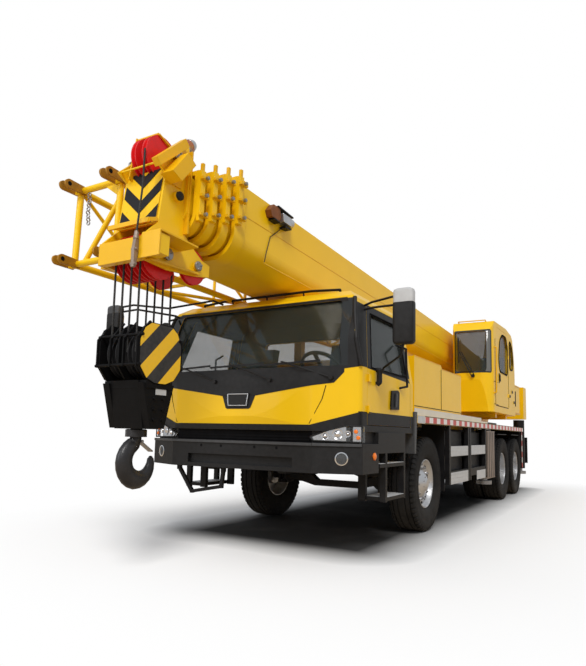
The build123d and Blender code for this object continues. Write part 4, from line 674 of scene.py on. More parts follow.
# Headlamps: bright bowls and an amber corner behind the clear cover
for name, inner, outer, push in (("headlamp_bowls", 0.79, 1.1, -0.016), ("headlamp_outer_bowls", 1.16, 1.25, -0.012)):
    skin(name, "headlamps", "chassis", REFLECTOR, [rect(side * inner, side * outer, 1.05, 1.21) for side in (1, -1)],
         (1, 0, 0), push=push)
LAMP_BEND, LAMP_SWEEP = 0.83, 0.405     # the cover runs back from here, by this much per metre
bowls, edges, amber = Shape(), Shape(), Shape()
for side in (1, -1):
    way = Vector((0.93, side * 0.37, 0)).normalized()
    for y, z, r in ((0.925, 1.105, 0.036), (1.03, 1.125, 0.048), (1.115, 1.128, 0.03)):
        spot = at(2.253 - LAMP_SWEEP * (y - LAMP_BEND) - 0.012, side * y, z)
        bowls.turned(spot, way, [(0.0, r), (0.004, r), (-0.002, r * 0.72), (0.01, r * 0.35), (0.016, 0.0)], 24)
    wedge = [(0.8, 1.095), (0.83, 1.063), (1.238, 1.055), (1.238, 1.198), (1.1, 1.198), (0.96, 1.16)]
    rimmed = [at(2.256 - LAMP_SWEEP * max(0.0, y - LAMP_BEND), side * y, z) for y, z in wedge]
    for a, b in closed(rimmed):
        edges.tube(a, b, 0.006, 8)
    split = at(2.256 - LAMP_SWEEP * 0.32, side * 1.15, 1.06)
    edges.tube(split, split + Vector((0, 0, 0.135)), 0.004, 8)
    for y, z in ((1.185, 1.15), (1.205, 1.095)):
        amber.turned(at(2.253 - LAMP_SWEEP * (y - LAMP_BEND) - 0.006, side * y, z), way,
                     [(0.0, 0.02), (0.01, 0.017), (0.014, 0.0)], 16)
bowls.done("headlamp_bulbs", "chassis", CHROME)
edges.done("headlamp_edges", "chassis", PLASTIC)
amber.done("headlamp_amber", "chassis", ORANGE)

# Door handles, grab rails, roof rail and window seals
for side_name, side in SIDES:
    door = f"cab_door_{side_name}"
    y = side * (CAB_HALF + 0.002)
    recess, grip, rail, seal = Shape(), Shape(), Shape(), Shape()
    recess.prism([at(x, y, z) for x, z in ((1.395, 1.38), (1.165, 1.388), (1.155, 1.565), (1.2, 1.588),
                                           (1.375, 1.572))], (0, side * 0.012, 0))
    recess.done(f"door_handle_{side_name}", door, PLASTIC)
    grip.bar(at(1.29, y + side * 0.022, 1.41), at(1.27, y + side * 0.022, 1.55), 0.03, 0.014)
    grip.done(f"door_grip_{side_name}", door, GREY_PLASTIC)
    rail.pipe([at(x, side * out, z) for x, out, z in ((1.13, 1.24, 1.617), (1.03, 1.285, 1.64), (1.04, 1.275, 2.04),
                                                      (1.04, 1.16, 2.09))], 0.012)
    rail.done(f"door_rail_{side_name}", door, BLACK)
    loop = [at(x, side * (cab_side(z) + 0.002), z)
            for x, z in ((0.88, WAIST + 0.01), (1.855, WAIST + 0.01), (1.67, 2.315), (0.88, 2.315))]
    for a, b in closed(loop):
        seal.bar(a, b, 0.016, 0.008)
    seal.done(f"door_window_seal_{side_name}", door, DARK_HOLE)
rail = Shape()
rail.pipe([at(1.78, 0.86, 2.5), at(1.8, 0.86, 2.555), at(1.82, 0.55, 2.57), at(1.82, -0.55, 2.57),
           at(1.8, -0.86, 2.555), at(1.78, -0.86, 2.5)], 0.013)
for y in (-0.45, 0.0, 0.45):
    rail.tube(at(1.82, y, 2.568), at(1.8, y, 2.505), 0.009, 10)
rail.done("roof_rail", "chassis", BLACK)


# Mirrors: rounded housings with a cap coloured lighter as a painted highlight on the top, pale on the left mirror and
# grey on the right, glass to the rear and bent arms
def mirror_case(shape, x, y, levels, half=(0.052, 0.098)):
    """A housing with rounded corners from (height, share of its section) levels."""
    rings = []
    for z, share in levels:
        ring = []
        for t in turns(36):
            across = [math.copysign(abs(f) ** 0.42, f) * size * share
                      for f, size in ((math.cos(t), half[0]), (math.sin(t), half[1]))]
            ring.append(at(x + across[0], y + across[1], z))
        rings.append(ring)
    shape.solid(rings)


def mirror(name, x, y, low, high, cap, body, cap_highlight_colour, arms):
    case, top, pane_piece = Shape(), Shape(), Shape()
    mirror_case(case, x, y, [(low, 0.72), (low + 0.008, 0.9), (low + 0.025, 1.0), (high - 0.012, 1.0), (high, 0.97)])
    for path, radius in arms:
        case.pipe([at(*point) for point in path], radius)
    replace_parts(case.done(f"{name}_case", body, PLASTIC, angle=40), name)
    # Painted highlight: the cap's lighter colour stands for light falling on the housing's top
    mirror_case(top, x, y, [(high, 0.96), (cap - 0.035, 0.97), (cap - 0.012, 0.9), (cap, 0.66)])
    top.done(f"{name}_cap", body, cap_highlight_colour, angle=40)
    pane_piece.box(at(x - 0.054, y - 0.08, low + 0.03), at(x - 0.051, y + 0.08, high - 0.02))
    pane_piece.done(f"{name}_glass", body, MIRROR)


mirror("mirror_left", 1.99, 1.592, 1.935, 2.312, 2.442, "cab_door_left", PALE_PLASTIC,
       [([(1.99, 1.59, 1.95), (1.93, 1.54, 1.845), (1.76, 1.31, 1.76), (1.745, 1.265, 1.68)], 0.011),
        ([(1.745, 1.238, 1.605), (1.745, 1.262, 1.625), (1.745, 1.262, 1.735), (1.745, 1.238, 1.745)], 0.026),
        ([(1.99, 1.53, 2.385), (1.8, 1.2, 2.395), (1.78, 1.115, 2.375)], 0.011),
        ([(1.99, 1.53, 2.3), (1.83, 1.23, 2.335), (1.8, 1.125, 2.33)], 0.011)])
mirror("mirror_right", 2.45, -1.592, 2.12, 2.4, 2.49, "chassis", GREY_PLASTIC,
       [([(2.44, -1.55, 2.47), (2.41, -1.36, 2.487), (2.26, -0.985, 2.445), (2.02, -0.56, 2.538), (1.9, -0.52, 2.515)],
         0.011),
        ([(2.43, -1.52, 2.42), (2.38, -1.33, 2.44), (2.13, -0.99, 2.385), (2.08, -0.98, 2.37)], 0.011),
        ([(2.44, -1.55, 2.13), (2.3, -1.45, 2.0), (2.06, -1.235, 1.8)], 0.011)])
round_mirror = Shape()
round_mirror.turned(at(2.235, -0.985, 2.18), (0.9, -0.2, -0.38),
                    [(-0.03, 0.0), (-0.025, 0.075), (0.0, 0.112), (0.022, 0.118), (0.03, 0.11), (0.036, 0.0)], 32)
round_mirror.pipe([at(2.22, -0.985, 2.2), at(2.16, -1.06, 2.33), at(2.02, -1.07, 2.38)], 0.011)
round_mirror.done("kerb_mirror", "chassis", PLASTIC)

# ------------------------------------------------------------------ boom head
HEAD = (10.44, -0.415)           # axle of the lower sheaves, along and across the boom
TOP_AXLE = (10.415, 0.43)
HEAD_HALF = 0.222


def board_point(share, up):
    """A point on the head's front board: across it from -1 to 1, and upward along it from 0 to 1."""
    low, high = on_boom(10.549, -0.19), on_boom(10.494, 0.236)
    return low.lerp(high, up) + SIDE * share * 0.199 + ALONG * 0.003


# V-shaped chevrons: each is a black arm on both halves, its point in the middle
BOARD_LOW, BOARD_HIGH = 0.02, 1.12
board = Shape()
board.prism([board_point(-1, BOARD_LOW), board_point(1, BOARD_LOW), board_point(1, BOARD_HIGH),
             board_point(-1, BOARD_HIGH)], ALONG * 0.004)
board.done("head_board", "boom_fifth", YELLOW)
arms = Shape()
rise, thick = 0.4, 0.26
for low in (-0.28, 0.25, 0.78):
    for side in (1, -1):
        edge = [(s, low + rise * s) for s in (0.0, 1.0)] + [(s, low + thick + rise * s) for s in (1.0, 0.0)]
        outline = []
        for (sa, ua), (sb, ub) in closed(edge):
            for limit in sorted((BOARD_LOW, BOARD_HIGH), reverse=ub < ua):
                if BOARD_LOW <= ua <= BOARD_HIGH and (sa, ua) not in outline:
                    outline.append((sa, ua))
                if (ua - limit) * (ub - limit) < 0:
                    share = (limit - ua) / (ub - ua)
                    outline.append((sa + (sb - sa) * share, limit))
        arms.prism([board_point(side * s, u) + ALONG * 0.005 for s, u in outline], ALONG * 0.002)
arms.done("head_chevrons", "boom_fifth", BLACK)

# Auxiliary rope down the front, with its socket on the low beam
aux, socket = Shape(), Shape()
aux.pipe([on_boom(10.595, 0.43, 0.07), on_boom(10.635, 0.1, 0.12), on_boom(10.722, -0.35, 0.185)], 0.008, 12)
aux.done("auxiliary_rope", "boom_fifth", ROPE)
socket.prism(boom_line(0.172, ((10.712, -0.33), (10.73, -0.33), (10.748, -0.47), (10.742, -0.6), (10.722, -0.6),
                               (10.704, -0.47))), SIDE * 0.03)
socket.turned(on_boom(10.724, -0.35, 0.187), on_boom(0, 1, 0) - on_boom(0, 0, 0),
              [(-0.03, 0.0), (-0.03, 0.022), (0.03, 0.014), (0.03, 0.0)], 16)
socket.tube(on_boom(10.728, -0.46, 0.16), on_boom(10.728, -0.46, 0.214), 0.012, 12)
socket.tube(on_boom(10.732, -0.575, 0.16), on_boom(10.732, -0.575, 0.214), 0.012, 12)
socket.done("rope_socket", "boom_fifth", BROWN_METAL)

# Trim of the head: low front beam, ledges over the sheaves, edge flanges, slanted bracket, pins and bolts
trim = Shape()
trim.prism(boom_line(-0.235, ((10.645, -0.525), (10.7, -0.525), (10.7, -0.35), (10.645, -0.35))), SIDE * 0.455)
trim.prism(boom_line(HEAD_HALF, ((10.69, -0.525), (10.702, -0.525), (10.702, -0.335), (10.69, -0.335))), SIDE * 0.185)
trim.bar(on_boom(10.625, -0.195, -0.235), on_boom(10.625, -0.195, 0.205), 0.022, 0.036)
for y in (-0.222, 0.21):
    trim.bar(on_boom(10.55, -0.165, y), on_boom(10.63, -0.195, y), 0.02, 0.03)
trim.prism(boom_line(HEAD_HALF, ((10.28, -0.34), (10.7, -0.34), (10.7, -0.326), (10.28, -0.326))), SIDE * 0.19)
for side in (1, -1):
    y = side * HEAD_HALF
    trim.prism(boom_line(y, ((10.245, -0.19), (10.262, -0.19), (10.262, 0.52), (10.245, 0.52))), SIDE * side * 0.045)
    trim.prism(boom_line(y, ((10.08, -0.485), (10.64, -0.53), (10.64, -0.512), (10.08, -0.467))), SIDE * side * 0.05)
    trim.prism(boom_line(y, ((10.3, 0.36), (10.4, 0.36), (10.47, 0.17), (10.33, 0.17))), SIDE * side * 0.012)
trim.prism(boom_line(HEAD_HALF - 0.01, ((10.61, 0.235), (10.655, 0.285), (10.355, 0.585), (10.3, 0.535))),
           SIDE * 0.06)
trim.prism(boom_line(HEAD_HALF, ((10.45, 0.16), (10.56, 0.2), (10.4, 0.42), (10.3, 0.36))), SIDE * 0.13)
trim.tube(on_boom(10.48, 0.606, -0.15), on_boom(10.48, 0.606, 0.09), 0.011, 12)
trim.bar(on_boom(10.52, 0.24, -0.15), on_boom(10.48, 0.615, -0.14), 0.04, 0.012)
trim.bar(on_boom(10.2, 0.5, -0.15), on_boom(10.48, 0.606, -0.145), 0.022, 0.012)
trim.bar(on_boom(10.2, 0.5, 0.1), on_boom(10.48, 0.606, 0.09), 0.022, 0.012)
trim.done("head_trim", "boom_fifth", YELLOW_DEEP)
pins = Shape()
for side in (1, -1):
    y = side * (HEAD_HALF + 0.02)
    for u, v, r in ((*HEAD, 0.05), (*TOP_AXLE, 0.046), (10.08, -0.405, 0.042)):
        pins.turned(on_boom(u, v, y), SIDE * side, [(0.0, r), (0.014, r), (0.018, r * 0.8), (0.018, 0.0)], 24)
        for turn in (0.6, 2.7, 4.8):
            spot = on_boom(u + math.cos(turn) * r * 0.66, v + math.sin(turn) * r * 0.66, y + side * 0.016)
            pins.tube(spot, spot + SIDE * side * 0.01, 0.008, 6)
pins.done("head_pins", "boom_fifth", STEEL)
boss = Shape()
for side in (1, -1):
    boss.turned(on_boom(10.365, 0.09, side * (HEAD_HALF + 0.028)), SIDE * side,
                [(0.0, 0.036), (0.02, 0.036), (0.026, 0.026), (0.026, 0.0)], 24)
boss.done("head_boss", "boom_fifth", IRON)
lamp_set = Shape()
lamp_set.turned(on_boom(10.2, 0.62, 0.17), (0.8, 0, -0.6),
                [(-0.05, 0.0), (-0.045, 0.045), (0.0, 0.06), (0.012, 0.06), (0.012, 0.0)], 24)
lamp_set.bar(on_boom(10.2, 0.3, 0.17), on_boom(10.2, 0.62, 0.17), 0.018)
lamp_set.ball(on_boom(10.13, 0.6, 0.05), 0.036)
lamp_set.bar(on_boom(10.13, 0.3, 0.05), on_boom(10.13, 0.59, 0.05), 0.016)
lamp_set.done("head_work_lamp", "boom_fifth", SILVER)

# Rear end of the boom: a rim round the opening and the telescoping cylinder's foot
rim, foot = Shape(), Shape()
for v in (0.425, 0.3):
    rim.bar(on_boom(-0.3, v, -0.385), on_boom(-0.3, v, 0.385), 0.024)
for y in (-0.392, 0.392):
    rim.bar(on_boom(-0.3, -0.1, y), on_boom(-0.3, 0.425, y), 0.024)
rim.done("boom_rear_rim", "boom_base", YELLOW_DEEP)
foot.turned(on_boom(-0.12, 0.12, 0.0), -ALONG,
            [(-0.05, 0.0), (-0.05, 0.105), (0.04, 0.105), (0.05, 0.085), (0.11, 0.085), (0.115, 0.045),
             (0.135, 0.045), (0.135, 0.0)], 28)
for y in (-0.24, -0.19, 0.19, 0.24):
    foot.pipe([on_boom(-0.11, 0.22, y), on_boom(-0.2, 0.2, y), on_boom(-0.23, 0.06, y),
               on_boom(-0.23, -0.12, y * 0.9)], 0.014, 12)
foot.done("boom_rear_cylinder", "boom_base", IRON)

# Collars' adjusters: cross plates and nuts on each post, a lug on top
COLLAR_FRONTS = (9.85, 9.98, 10.11, 10.23)
SECTION_BODIES = ("boom_base", "boom_second", "boom_third", "boom_fourth")
for index, (collar, body) in enumerate(zip(COLLAR_FRONTS, SECTION_BODIES)):
    half = 0.4 - 0.036 * index
    top = 0.43 - 0.032 * index
    plates, nuts = Shape(), Shape()
    for side in (1, -1) if index else (1,):
        y = side * (half + 0.062)
        for v in (top - 0.05, top - 0.2, top - 0.36):
            plates.prism([on_boom(u, v + h, y)
                          for u, h in ((collar - 0.08, -0.012), (collar + 0.012, -0.012), (collar + 0.012, 0.012),
                                       (collar - 0.08, 0.012))], SIDE * side * 0.03)
            spot = on_boom(collar - 0.03, v, y + side * 0.03)
            nuts.tube(spot, spot + SIDE * side * 0.026, 0.016, 6)
        plates.bar(on_boom(collar - 0.028, top + 0.02, y - side * 0.017),
                   on_boom(collar - 0.028, top + 0.09, y - side * 0.017), 0.026)
    for y in (-half * 0.55, half * 0.55):
        plates.prism([on_boom(u, top + 0.028 + h, y - 0.04)
                      for u, h in ((collar - 0.11, 0), (collar - 0.01, 0), (collar - 0.01, 0.022),
                                   (collar - 0.11, 0.022))], SIDE * 0.08)
    plates.done(f"collar_plates_{index + 1}", body, YELLOW_DEEP)
    nuts.done(f"collar_nuts_{index + 1}", body, STEEL)

# ------------------------------------------------------------------ hook block, ropes and hook
head_axle = on_boom(*HEAD)
BLOCK_X, BLOCK_Z = head_axle.x, 1.705
FALL_YS = [0.088 * (i - 1.5) for i in range(4)]


def block_outline(grow=0.0):
    """Octagon of the block's side plates, with every corner cut."""
    points = [(-115, 230), (115, 230), (180, 185), (225, 90), (225, -105), (150, -200), (60, -235), (-60, -235),
              (-150, -200), (-225, -105), (-225, 90), (-180, 185)]
    return [(BLOCK_X + x / 1000 * (1 + grow), BLOCK_Z + z / 1000 * (1 + grow)) for x, z in points]


ropes = Shape()
for y in FALL_YS:
    for x in (-0.173, 0.173):
        ropes.tube((BLOCK_X + x, y, BLOCK_Z), (BLOCK_X + x, y, head_axle.z), 0.0085, 12)
ropes.done("hoist_ropes", "hook_block", ROPE)
wheels = Shape()
for y in FALL_YS:
    wheels.turned((BLOCK_X, y, BLOCK_Z), (0, 1, 0),
                  [(-0.026, 0.035), (-0.026, 0.19), (-0.019, 0.19), (-0.009, 0.166), (0.009, 0.166), (0.019, 0.19),
                   (0.026, 0.19), (0.026, 0.035)], 48, looped=True)
wheels.done("block_sheaves", "hook_block", IRON)
cheeks = Shape()
for y, thick in ((-0.222, 0.024), (-0.008, 0.016), (0.198, 0.024)):
    cheeks.prism([(x, y, z) for x, z in block_outline()], (0, thick, 0))
for side in (1, -1):
    # Rope guards that slant over the plates' upper corners
    for x_in, x_out in ((0.115, 0.235), (-0.115, -0.235)):
        for y in (side * 0.21, side * 0.07):
            cheeks.bar((BLOCK_X + x_in, y, BLOCK_Z + 0.238), (BLOCK_X + x_out, y, BLOCK_Z + 0.1), 0.02, 0.012)
            cheeks.bar((BLOCK_X + x_out, y, BLOCK_Z + 0.1), (BLOCK_X + x_out, y, BLOCK_Z - 0.115), 0.02, 0.012)
for x, z in ((0.205, 0.125), (-0.205, 0.125), (0.228, -0.1), (-0.228, -0.1)):
    cheeks.tube((BLOCK_X + x, -0.235, BLOCK_Z + z), (BLOCK_X + x, 0.235, BLOCK_Z + z), 0.012, 12)
body_top = BLOCK_Z - 0.21
cheeks.prism([(BLOCK_X + x, -0.15, z)
              for x, z in ((-0.15, body_top), (-0.085, 1.13), (0.085, 1.13), (0.15, body_top))], (0, 0.3, 0))
cheeks.box((BLOCK_X - 0.14, -0.222, body_top - 0.06), (BLOCK_X + 0.14, 0.222, body_top))
for side in (1, -1):
    # Outer weights below the plates
    cheeks.prism([(BLOCK_X + x, side * 0.15, z)
                  for x, z in ((-0.165, 1.475), (-0.075, 1.135), (0.075, 1.135), (0.165, 1.475))],
                 (0, side * 0.066, 0))
    for z in (1.2, 1.28, 1.36):
        cheeks.tube((BLOCK_X - 0.045, side * 0.214, z), (BLOCK_X - 0.045, side * 0.228, z), 0.014, 6)
        cheeks.tube((BLOCK_X + 0.045, side * 0.214, z), (BLOCK_X + 0.045, side * 0.228, z), 0.014, 6)
block = cheeks.done("block_body", "hook_block", BLOCK_BLACK)
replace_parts(block, "hook_block")
stripe = Shape()
for y, thick in ((0.2225, 0.003), (-0.2225, -0.003)):
    stripe.prism([(x, y, z) for x, z in block_outline(-0.03)], (0, thick, 0))
stripe.done("block_stripes", "hook_block", BLOCK_STRIPES)
labels = Shape()
labels.box((BLOCK_X - 0.08, 0.2165, 1.39), (BLOCK_X + 0.035, 0.2185, 1.462))
labels.done("block_label", "hook_block", PALE_PLASTIC)

# Forged hook: a round section that swells in the bowl and thins at the point
swept = Shape()
line = [((0.0, 1.11), 0.046), ((0.0, 1.06), 0.05), ((0.02, 1.01), 0.056)]
bowl_centre = Vector((-0.03, 0, 0.878))
for i in range(17):
    t = math.radians(62 - i * 252 / 16)
    radius = 0.142 - 0.004 * i / 16
    size = 0.062 + 0.014 * math.sin(math.pi * i / 16) - 0.034 * max(0.0, (i - 9) / 7)
    line.append(((bowl_centre.x + math.cos(t) * radius, bowl_centre.z + math.sin(t) * radius), max(0.02, size)))
centres = [Vector((BLOCK_X + x, 0, z)) for (x, z), size in line]
rings = []
for i, centre in enumerate(centres):
    way = (centres[min(i + 1, len(centres) - 1)] - centres[max(i - 1, 0)]).normalized()
    flat = SIDE.cross(way).normalized()
    size = line[i][1]
    rings.append([centre + flat * size * math.cos(a) + SIDE * size * 0.72 * math.sin(a) for a in turns(20)])
swept.solid(rings)
swept.ball(centres[-1], 0.019)
swept.turned((BLOCK_X, 0, 1.068), (0, 0, 1), [(0.0, 0.082), (0.055, 0.082), (0.06, 0.07), (0.062, 0.0)], 8)
swept.tube((BLOCK_X, 0, 1.08), (BLOCK_X, 0, 1.29), 0.045, 24)
hook = swept.done("forged_hook", "hook", HOOK_GREY, angle=50)
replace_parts(hook, "hook")
latch = Shape()
latch.bar((BLOCK_X - 0.035, 0, 1.035), (BLOCK_X - 0.165, 0, 0.955), 0.05, 0.01)
latch.tube((BLOCK_X - 0.03, -0.045, 1.035), (BLOCK_X - 0.03, 0.045, 1.035), 0.012, 12)
latch.done("hook_latch", "hook", STEEL)

# ------------------------------------------------------------------ lattice jib in round tube
JIB_ROOT_U, JIB_TIP_U, PANELS = 10.33, 2.6, 8
ROOT = (-0.475, -1.0, 0.4, -0.3)
TIP = (-0.5, -0.76, 0.12, -0.12)


def jib_corner(share, across, up):
    """A chord's centre at a share of the jib's length from its root."""
    y = ROOT[across] + (TIP[across] - ROOT[across]) * share
    v = ROOT[2 + up] + (TIP[2 + up] - ROOT[2 + up]) * share
    return on_boom(JIB_ROOT_U + (JIB_TIP_U - JIB_ROOT_U) * share, v, y)


CORNERS = [(across, up) for across in (0, 1) for up in (0, 1)]
chords, lugs = Shape(), Shape()
for across, up in CORNERS:
    chords.tube(jib_corner(-0.002, across, up), jib_corner(1.0, across, up), 0.032, 14)
for panel in range(PANELS + 1):
    share = panel / PANELS
    ring = [jib_corner(share, 0, 0), jib_corner(share, 1, 0), jib_corner(share, 1, 1), jib_corner(share, 0, 1)]
    for a, b in closed(ring):
        chords.tube(a, b, 0.03 if panel in (0, PANELS) else 0.018, 12)
for panel in range(PANELS):
    near, far = panel / PANELS, (panel + 1) / PANELS
    for across in (0, 1):
        chords.tube(jib_corner(near, across, panel % 2), jib_corner(far, across, 1 - panel % 2), 0.018, 12)
    for up in (0, 1):
        chords.tube(jib_corner(near, panel % 2, up), jib_corner(far, 1 - panel % 2, up), 0.018, 12)
# Braces in the root's end frame, and the gusset between its upper lugs
low_mid = jib_corner(0, 1, 1).lerp(jib_corner(0, 0, 1), 0.25)
chords.tube(jib_corner(0, 0, 0).lerp(jib_corner(0, 0, 1), 0.25), low_mid, 0.024, 12)
gusset_a, gusset_b = jib_corner(0, 0, 0), jib_corner(0, 0, 0).lerp(jib_corner(0, 1, 0), 0.42)
chords.prism([gusset_a, gusset_b, jib_corner(0, 0, 0).lerp(jib_corner(0, 0, 1), 0.22)], ALONG * 0.012)
for across, up in CORNERS:
    y, v = ROOT[across], ROOT[2 + up]
    back, front = JIB_ROOT_U - 0.02, JIB_ROOT_U + 0.165
    outline = [(back, v - 0.036), (front, v - 0.042)]
    outline += [(front + 0.042 * math.sin(t), v - 0.042 * math.cos(t))
                for t in [math.pi * k / 8 for k in range(1, 8)]]
    outline += [(front, v + 0.042), (back, v + 0.036)]
    for lug_y in (y - 0.038, y + 0.038):
        lugs.prism([on_boom(u, w, lug_y - 0.011) for u, w in outline], SIDE * 0.022)
    chords.turned(on_boom(back, v, y), ALONG, [(0.0, 0.034), (0.05, 0.048), (0.062, 0.05), (0.062, 0.0)], 16)
for share in (2 / PANELS, (PANELS - 1) / PANELS):
    high, low = jib_corner(share, 0, 0), jib_corner(share, 0, 1)
    for spot in (high, (high + low) / 2):
        chords.bar(spot, (spot.x, -0.399, spot.z), 0.06)
tubes = chords.done("jib_tubes", "boom_base", YELLOW)
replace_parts(tubes, "lattice_jib")
lugs.done("jib_lugs", "boom_base", LUG_OCHRE)
# Painted shade: thin dark discs on the lugs' outer faces stand for the pin bores
bores = Shape()
for across, up in CORNERS:
    y, v = ROOT[across], ROOT[2 + up]
    for lug_y in (y - 0.0505, y + 0.0495):
        start = (JIB_ROOT_U + 0.165, v)
        bores.tube(on_boom(*start, lug_y), on_boom(*start, lug_y + 0.001), 0.02, 16)
bores.done("jib_lug_bores", "boom_base", DARK_HOLE)
chain = Shape()
drop = jib_corner(0, 1, 0).lerp(jib_corner(0, 0, 0), 0.22)
for i in range(9):
    link = drop - Vector((0, 0, 0.05 + 0.034 * i)) + SIDE * 0.006 * math.sin(i)
    chain.turned(link, (0.2, 1, 0) if i % 2 else (1, 0.2, 0),
                 [(-0.005, 0.02), (0.005, 0.02), (0.005, 0.012), (-0.005, 0.012)], 10, looped=True)
chain.done("jib_pin_chain", "boom_base", STEEL)

# ------------------------------------------------------------------ operator's cab
OP_FRONT = -3.43
OP_SIDE = 1.2505                 # just outside the operator's cab
OP_SCREEN = (FX + OP_FRONT - 0.2, FX + OP_FRONT + 0.02)
skin("operator_screen_edge", "operator_cab_shell", "superstructure", FRIT,
     [[(0.595, 2.262), (1.215, 2.262), (1.226, 2.29), (1.226, 3.01), (1.21, 3.04), (0.605, 3.04), (0.588, 3.01),
       (0.588, 2.29)]], (1, 0, 0), OP_SCREEN)
skin("operator_screen_side", "operator_cab_shell", "superstructure", SIDE_PANE,
     [[(1.14, 2.285), (1.212, 2.285), (1.212, 3.015), (1.14, 3.015)]], (1, 0, 0), OP_SCREEN,
     push=0.0045)
WINDOW_FRONT = [(-4.88, 2.34), (-4.12, 2.34), (-4.02, 2.56), (-4.15, 2.93), (-4.39, 3.07), (-4.77, 3.07),
                (-4.895, 2.9)]
WINDOW_REAR = [(-5.53, 2.64), (-5.45, 2.5), (-5.11, 2.48), (-5.11, 3.05), (-5.25, 3.05), (-5.43, 2.93)]
for outline, body, name in ((WINDOW_FRONT, "operator_door", "front"), (WINDOW_REAR, "superstructure", "rear")):
    seal = Shape()
    centre = Vector((sum(x for x, z in outline) / len(outline), sum(z for x, z in outline) / len(outline)))
    ends = []
    for place, (x, z) in enumerate(outline):
        here = Vector((x, z))
        for other in (outline[place - 1], outline[(place + 1) % len(outline)]):
            ends.append(here + (Vector(other) - here).normalized() * 0.055)
    loop = [at(p.x, 1.2535, p.y) for p in ends]
    for a, b in closed(loop):
        seal.bar(a, b, 0.026, 0.01, up=SIDE)
    seal.done(f"operator_seal_{name}", body, DARK_HOLE)
wiper = Shape()
for shift in (0.0, 0.055):
    wiper.pipe([at(OP_FRONT + 0.02, 0.905 + shift, 2.205), at(OP_FRONT + 0.045, 0.89 + shift, 2.245),
                at(OP_FRONT + 0.032, 0.7 + shift * 0.6, 2.64)], 0.008)
wiper.bar(at(OP_FRONT + 0.025, 0.69, 2.44), at(OP_FRONT + 0.018, 0.682, 2.9), 0.014, 0.016)
wiper.tube(at(OP_FRONT - 0.01, 0.93, 2.205), at(OP_FRONT + 0.035, 0.93, 2.205), 0.03, 14)
wiper.done("operator_wiper", "superstructure", PLASTIC)
handle = Shape()
handle.bar(at(-4.09, 1.262, 2.155), at(-4.07, 1.262, 2.285), 0.03, 0.024)
handle.box(at(-4.115, 1.25, 2.13), at(-4.045, 1.254, 2.31))
handle.done("operator_door_handle", "operator_door", PLASTIC)
rails = Shape()
rails.pipe([at(-3.62, 1.235, 1.9), at(-3.62, 1.29, 1.93), at(-3.66, 1.29, 2.72), at(-3.66, 1.235, 2.75)], 0.011)
rails.pipe([at(-3.72, 0.62, 3.212), at(-3.665, 0.62, 3.235), at(-3.665, 1.1, 3.235), at(-3.72, 1.1, 3.212)], 0.01)
rails.done("operator_rails", "superstructure", YELLOW_DEEP)
lines = Shape()
for z in (1.72, 2.12):
    lines.bar(at(-3.6, OP_SIDE, z), at(-3.97, OP_SIDE, z), 0.006)
for xa, za, xb, zb in ((-3.73, 1.72, -3.73, 2.9), (-4.98, 1.72, -4.98, 2.95), (-3.76, 1.7, -4.95, 1.7)):
    lines.bar(at(xa, OP_SIDE, za), at(xb, OP_SIDE, zb), 0.007)
lines.done("operator_door_seams", "superstructure", DARK_HOLE)
catches = Shape()
for x, z in ((-5.35, 2.05), (-5.55, 1.85), (-5.1, 1.95)):
    catches.turned(at(x, 1.25, z), SIDE, [(0.0, 0.03), (0.012, 0.03), (0.018, 0.018), (0.018, 0.0)], 16)
catches.done("operator_cab_catches", "superstructure", GREY_PLASTIC)

# ------------------------------------------------------------------ hood, plinth and deck
side_boxes("plinth_sides", "chassis", PLINTH, ((-2.602, 0.402), (1.1512, 1.154), (1.359, 1.449)),
           ((-3.02, -2.604), (0.95, 1.154), (1.358, 1.448)), ((-3.5, -3.022), (0.95, 1.154), (1.358, 1.394)))
side_boxes("deck_lockers", "chassis", BLACK, ((-4.28, -3.52), (0.8, 1.15), (1.358, 1.394)))
seams = Shape()
for side in (1, -1):
    y = side * 1.1505
    seams.bar(at(-0.69, y, 1.47), at(-0.69, y, 2.01), 0.008)
    seams.bar(at(0.395, y, 1.475), at(-1.71, y, 1.475), 0.007)
seams.done("hood_seams", "chassis", DARK_HOLE)
ridge = Shape()
for side in (1, -1):
    y = side * 1.142
    ridge.bar(at(0.395, y, 2.062), at(-0.69, y, 2.062), 0.02, 0.01)
    ridge.bar(at(-0.69, y, 2.018), at(-1.715, y, 2.018), 0.02, 0.01)
ridge.done("hood_edges", "chassis", YELLOW_DEEP)
side_boxes("deck_edge_tape", "chassis", TAPE, ((-6.595, 0.31), (1.2502, 1.2525), (1.279, 1.346)))
side_boxes("deck_edge_ends", "chassis", PALE_PLASTIC, ((0.315, 0.583), (1.2502, 1.2525), (1.269, 1.355)))
side_boxes("deck_edge_lips", "chassis", BLACK,
           *[((-6.598, 0.312), (1.2502, 1.254), zs) for zs in ((1.349, 1.356), (1.268, 1.275))])

# Ladders and steps: pale treads with studs
FACE = (1.2455, 1.2495)          # outward places of the ladders' treads
side_boxes("pale_treads", "chassis", PALE_PLASTIC, ((-1.705, -0.785), FACE, (0.866, 1.0)),
           ((-1.705, -0.785), FACE, (0.5, 0.652)), ((-2.835, -1.905), FACE, (0.866, 1.005)),
           ((-2.835, -2.25), FACE, (0.485, 0.62)), ((1.02, 1.67), (1.03, 1.248), (0.8505, 0.8545)),
           ((1.02, 1.51), (1.03, 1.248), (0.5255, 0.5295)))
studs = []
for xa, xb, heights in ((-1.68, -0.8, (0.89, 0.933, 0.976)), (-1.68, -0.8, (0.525, 0.576, 0.627)),
                        (-2.81, -1.93, (0.89, 0.935, 0.98))):
    for z in heights:
        for x in [xa + (xb - xa) * i / 13 for i in range(14)]:
            studs.append(((x - 0.014, x + 0.014), (FACE[1], 1.2515), (z - 0.004, z + 0.004)))
side_boxes("tread_studs", "chassis", SILVER, *studs)

